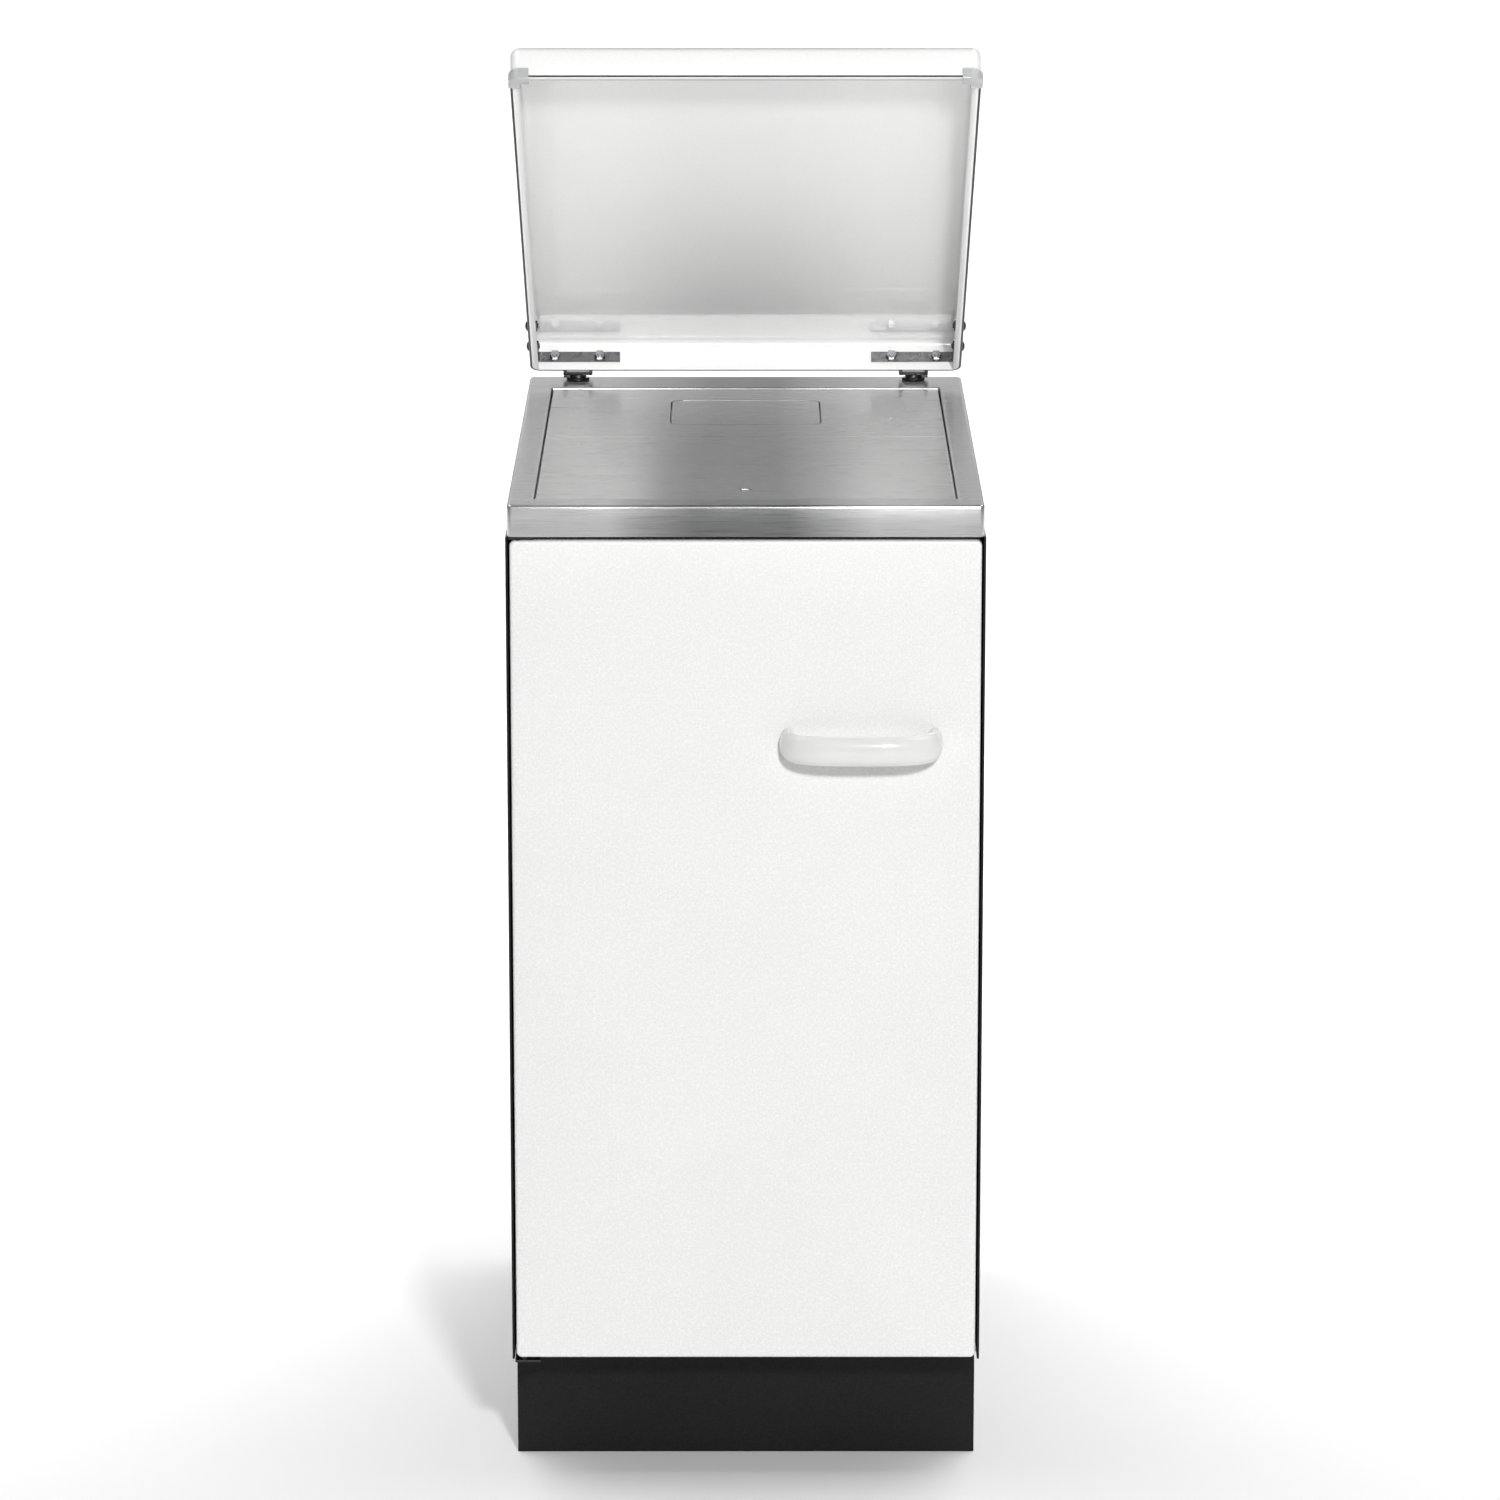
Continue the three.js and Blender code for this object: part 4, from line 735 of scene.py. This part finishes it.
rings = [inset(*cover_base, 0.4, cover[4]), inset(*cover_base, 0, cover[4] + 0.4)]
rings += fillet(cover_base, 1.5, cover[5] - 1.5, 1, True, 5)
hob_part("cover_plate", loft(rings, False), "cleaning_cover")


# ---------- Front door ----------
def upright(u, v, h):
    """Lays a ring upright, facing along Y."""
    return (u, h, v)


_, x1, door_front, door_back, z0, z1 = span("door_skin")
door_base = (x1, z0, z1, 5.0)
DOOR_SHEET, DOOR_EDGE, DOOR_MIDDLE = 1.5, 3.0, 40
door_rings = [inset(*door_base, DOOR_MIDDLE, door_front)]
door_rings += fillet(door_base, DOOR_EDGE, door_front + DOOR_EDGE, -1, False, 7)
door_rings += [
    inset(*door_base, 0, door_back - 0.5),
    inset(*door_base, 0.4, door_back),
    inset(*door_base, 1.1, door_back),
    inset(*door_base, DOOR_SHEET, door_back - 0.4),
]
inner_door = inset(*door_base, DOOR_SHEET, 0)[:4]
door_rings += fillet(inner_door, DOOR_EDGE - DOOR_SHEET, door_front + DOOR_EDGE, -1, True, 5)
door_rings += [inset(*door_base, DOOR_MIDDLE, door_front + DOOR_SHEET)]
door_bm = loft(door_rings, False, upright)
piece("door_panel", door_bm, white_enamel, "front_door", ["door_skin"], None, 60)

HANDLE_BOX = span("door_handle")
# Half of the grip's thickness in CAD; the exponent that squares the bow's corners; the door's face.
HANDLE_HALF, BOW_POWER, HANDLE_FOOT = 7.5, 2 / 3.2, -300.3


def bow(t):
    """The point at t, from 0 to 1, along the handle's centre line, in millimetres."""
    x0, x1, y0, y1, z0, z1 = HANDLE_BOX
    half = (x1 - x0) / 2 - HANDLE_HALF
    reach = y1 - y0 - HANDLE_HALF
    a = math.pi * t
    x = -math.copysign(abs(math.cos(a)) ** BOW_POWER, math.cos(a)) * half
    y = -abs(math.sin(a)) ** BOW_POWER * reach
    return Vector(((x0 + x1) / 2 + x, y1 + y, (z0 + z1) / 2))


def handle():
    """A moulded bow with an oval section, flatter inside, and a fine mould seam along it."""
    bm = bmesh.new()
    loops = []
    steps, sides, nudge = 72, 56, 0.002
    half_out, half_up, seam_depth = 7.4, 12.45, 1.1
    for i in range(steps + 1):
        t = i / steps
        here = bow(t)
        ahead, behind = bow(min(t + nudge, 1.0)), bow(max(t - nudge, 0.0))
        along = (ahead - behind).normalized()
        out = Vector((along.y, -along.x, 0))
        loop = []
        for k in range(sides):
            a = 2 * math.pi * k / sides
            flat = 0.86 if math.cos(a) < 0 else 1.0
            seam = seam_depth if k == sides * 5 // 6 + 1 else 0.0
            away = (half_out - seam) * math.cos(a) * flat
            up = (half_up - seam) * math.sin(a)
            point = here + out * away + Vector((0, 0, up))
            point.y = min(point.y, HANDLE_FOOT)
            loop.append(bm.verts.new(point))
        loops.append(loop)
    skin(bm, loops)
    bmesh.ops.remove_doubles(bm, verts=bm.verts, dist=0.02)
    replaced = ["door_handle"]
    piece("handle_bow", bm, white_plastic, "front_door", replaced, None, 60)


handle()

# ---------- Round parts behind the door and at the back ----------
_, _, y0, y1, z0, z1 = span("flue_collar")
flue = (0, 0, (z0 + z1) / 2)
TUBE_OUT, TUBE_IN, FLANGE_OUT = 60, 57.2, 72
# The collar's section as (radius, Y): mouth, bore, inner end, flange on the back panel, bead.
tube = [
    (TUBE_OUT, y1 - 1.2), (59.4, y1 - 0.3), (58.6, y1), (57.6, y1 - 0.4), (TUBE_IN, y1 - 1.2),
    (TUBE_IN, y0), (TUBE_OUT, y0),
    (TUBE_OUT, 299.5), (60.6, 300.2), (71.6, 300.2), (FLANGE_OUT, 300.6), (FLANGE_OUT, 302.6),
    (71.2, 303.2), (62.4, 303.2), (61.2, 303.8), (60.5, 305.0), (TUBE_OUT, 306.5),
    (TUBE_OUT, 322), (60.5, 323), (60.5, 326), (TUBE_OUT, 327),
]
SCREW_CIRCLE, FLANGE_FACE = 66.4, 303.1
flue_bm = turned(tube, "y", flue, 72, ring=True)
for corner in range(4):
    a = math.radians(45 + 90 * corner)
    place = (SCREW_CIRCLE * math.cos(a), FLANGE_FACE, flue[2] + SCREW_CIRCLE * math.sin(a))
    screw(flue_bm, place, "y", 1, 2.9, 1.3)
piece("flue_spigot", flue_bm, cast_iron, "carcass", ["flue_collar"], None, 35)

ROD_RADIUS, GRIP_LENGTH = 3.0, 17.0


def pull_rod(node):
    """A drawn rod with a turned grip at its front end."""
    x0, x1, y0, y1, z0, z1 = span(node)
    r, end = (x1 - x0) / 2, y0 + GRIP_LENGTH
    profile = [
        (r * 0.55, y0), (r * 0.84, y0 + 0.5), (r, y0 + 2.2), (r, y0 + 4.4), (r * 0.86, y0 + 6.4),
        (r * 0.62, end - 3.6), (r * 0.6, end - 1.6), (r * 0.72, end - 0.6), (r * 0.72, end),
        (ROD_RADIUS, end), (ROD_RADIUS, y1 - 0.6), (ROD_RADIUS - 0.6, y1),
    ]
    return turned(profile, "y", ((x0 + x1) / 2, 0, (z0 + z1) / 2), 40)


for node, body, name in (
    ("damper_rod", "damper", "damper_grip"),
    ("shaker_rod", "grate", "shaker_grip"),
):
    piece(name, pull_rod(node), zinc_steel, body, [node], None, 35)


def fluted_knob():
    """The air knob: twelve finger flutes, a raised pointer bar and a slightly domed face."""
    x0, x1, front, back, z0, z1 = span("air_knob")
    cx, cz, radius = (x0 + x1) / 2, (z0 + z1) / 2, (x1 - x0) / 2
    sides, flutes, flute_depth = 96, 12, 0.055
    # (share of the radius, Y, whether this ring is fluted)
    profile = [
        (0.3, front + 2.0, 0), (0.62, front + 2.1, 0), (0.66, front + 2.5, 0),
        (0.9, front + 2.7, 1), (0.97, front + 3.6, 1), (1.0, front + 5.4, 1),
        (1.0, front + 14.0, 1), (0.98, front + 15.5, 1),
        (0.86, front + 16.0, 0), (0.35, front + 16.2, 0), (0.3, back, 0),
    ]
    bm = bmesh.new()
    loops = []
    for share, y, fluted in profile:
        loop = []
        for i in range(sides):
            a = 2 * math.pi * i / sides
            dip = 1 - flute_depth * fluted * max(0.0, math.cos(flutes * a)) ** 2
            reach = radius * share * dip
            loop.append(bm.verts.new((cx + reach * math.cos(a), y, cz + reach * math.sin(a))))
        loops.append(loop)
    skin(bm, loops)
    pointer = radius * 0.8
    brick(cx - 2.0, cx + 2.0, front + 0.05, front + 3.0, cz - pointer, cz + pointer, bm, 0.7)
    piece("air_grip", bm, black_plastic, "air_knob", ["air_knob"], None, 40)


fluted_knob()

# ---------- Screws and pressed beads ----------
# Screws and beads sink this far into the face that they stand on, and lie this far from its edge.
SINK, EDGE_GAP = 0.1, 9
back_bm = bmesh.new()
_, x1, _, y1, z0, z1 = span("back_panel")
for sign in (-1, 1):
    for i in range(6):
        height = z0 + 18 + (z1 - z0 - 36) * i / 5
        screw(back_bm, (sign * (x1 - EDGE_GAP), y1 - SINK, height), "y", 1)
for sign in (-1, 0, 1):
    screw(back_bm, (sign * 95, y1 - SINK, z0 + EDGE_GAP), "y", 1)
    if sign:
        screw(back_bm, (sign * 125, y1 - SINK, z1 - EDGE_GAP), "y", 1)
piece("back_screws", back_bm, zinc_steel, "carcass")


def bead(bm, x0, x1, z0, z1, seat, rise, width, radius, way=-1):
    """A pressed raised border on an upright face; way -1 stands forward."""
    middle = (x0 + x1) / 2
    base = ((x1 - x0) / 2, z0, z1, radius)
    # (share of the border's width, share of its rise)
    section = [(0, 0), (0.18, 0.7), (0.38, 1), (0.62, 1), (0.82, 0.7), (1, 0)]
    rings = [inset(*base, width * u, seat + way * rise * h) for u, h in section]
    rings.append(inset(*base, width * 0.5, seat - way * 0.3))
    loft(rings, True, upright, 6, middle, bm)


# The inner doors' face, the sides of their outer rib, and how far in the second rib lies.
LEAF_FACE, RIB_LEFT, RIB_RIGHT, RIB_STEP = -211.3, -104, 84, 16
for door in ("fire_door", "ash_door"):
    _, _, _, _, z0, z1 = span(door)
    low, high, seat = z0 + EDGE_GAP, z1 - EDGE_GAP, LEAF_FACE + SINK
    bm = bmesh.new()
    bead(bm, RIB_LEFT, RIB_RIGHT, low, high, seat, 2.4, 9, 9)
    inner = (RIB_LEFT + RIB_STEP, RIB_RIGHT - RIB_STEP, low + RIB_STEP, high - RIB_STEP)
    bead(bm, *inner, seat, 1.6, 6, 7)
    piece(f"{door}_ribs", bm, cast_iron, door, (), None, 50)
    latch = f"{door}_latch"
    x0, _, y0, _, z0, z1 = span(latch)
    pivot_x, pivot_z = x0 + 10, (z0 + z1) / 2
    boss = [(5.6, y0 + 7.2), (5.6, y0 + 2.6), (5.0, y0 + 1.8), (3.4, y0 + 1.2)]
    bm = turned(boss, "y", (pivot_x, 0, pivot_z), 28)
    screw(bm, (pivot_x, y0 + 1.3, pivot_z), "y", -1, 3.2, 1.1)
    piece(f"{latch}_boss", bm, zinc_steel, latch)

x0, x1, y0, _, z0, z1 = span("fuel_drawer")
bm = bmesh.new()
bead(bm, x0 + 10, x1 - 10, z0 + 10, z1 - 10, y0 + SINK, 1.8, 7, 10)
piece("drawer_bead", bm, black_enamel, "fuel_drawer", (), None, 50)

# Two bordered fields on the liner, one above the other.
x0, x1, _, y1, z0, z1 = span("door_liner")
middle, side_gap, end_gap, half_gap = (z0 + z1) / 2, 26, 28, 14
bm = bmesh.new()
for low, high in ((z0 + end_gap, middle - half_gap), (middle + half_gap, z1 - end_gap)):
    bead(bm, x0 + side_gap, x1 - side_gap, low, high, y1 - SINK, 2.2, 14, 22, 1)
for sign in (-1, 1):
    for i in range(4):
        height = z0 + 25 + (z1 - z0 - 50) * i / 3
        screw(bm, (sign * (x1 - EDGE_GAP), y1 - SINK, height), "y", 1, 2.8, 1.2)
piece("liner_beads", bm, black_enamel, "front_door", (), None, 50)

# ---------- Floor, light and camera ----------
# The floor lies a hair under the feet, and reaches far enough back to be the background too.
bpy.ops.mesh.primitive_plane_add(size=160, location=(0, 20, -0.0002))
floor = bpy.context.object
floor.name = "floor"
FLOOR_PALE, FLOOR_PALER = (0.86, 0.86, 0.86), (0.88, 0.88, 0.88)
floor_look = Nodes("floor", FLOOR_PALE, 0.85)
floor_look.color(floor_look.tint(floor_look.noise(3.0, 2.0), FLOOR_PALE, FLOOR_PALER))
floor.data.materials.append(floor_look.material)
floor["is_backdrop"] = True


def soft_light(name, place, target, size, power, spread=180):
    """A rectangular lamp at place that points at target, with its power in watts."""
    data = bpy.data.lights.new(name, "AREA")
    data.shape = "RECTANGLE"
    data.size, data.size_y = size
    data.energy = power
    data.spread = math.radians(spread)
    lamp = bpy.data.objects.new(name, data)
    lamp.location = place
    lamp.rotation_euler = (Vector(target) - Vector(place)).to_track_quat("-Z", "Y").to_euler()
    lamp.visible_camera = False
    bpy.context.scene.collection.objects.link(lamp)


soft_light("key", (0.75, -4.6, 2.75), (0, 0, 0.6), (0.4, 0.4), 160)
soft_light("lid_fill", (0, -0.9, 1.0), (0, 0.1, 1.06), (0.5, 0.12), 0.34, 44)
soft_light("rear_glow", (0, 3.2, 1.6), (0, 0, 0.85), (2.6, 0.9), 6)
soft_light("backdrop", (0, 21.45, 2.5), (0, 21.45, 0), (40, 40), 6570, 100)
WASH_X, WASH_Y = 1.35, 0.85
for name, x in (("floor_wash_1", -WASH_X), ("floor_wash_3", WASH_X)):
    soft_light(name, (x, WASH_Y, 1.7), (x, WASH_Y, 0), (1.9, 2.6), 26, 110)
world = bpy.data.worlds.new("studio")
bpy.context.scene.world = world
world.use_nodes = True
sky = world.node_tree.nodes["Background"]
sky.inputs["Color"].default_value = (1, 1, 1, 1)
sky.inputs["Strength"].default_value = 0.2
bpy.context.scene.view_settings.view_transform = "Standard"

# A long lens from the front, looking slightly down. Sensor and lens are in millimetres.
CAMERA_DOWN, CAMERA_YAW = 13.63, -0.04
camera_data = bpy.data.cameras.new("camera")
camera_data.sensor_width = 36
camera_data.lens = 151.68
camera_data.clip_start, camera_data.clip_end = 0.05, 100
camera = bpy.data.objects.new("camera", camera_data)
camera.location = (0, -5.442, 1.888)
camera.rotation_euler = (math.radians(90 - CAMERA_DOWN), 0, math.radians(CAMERA_YAW))
bpy.context.scene.collection.objects.link(camera)
bpy.context.scene.camera = camera

low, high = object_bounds()
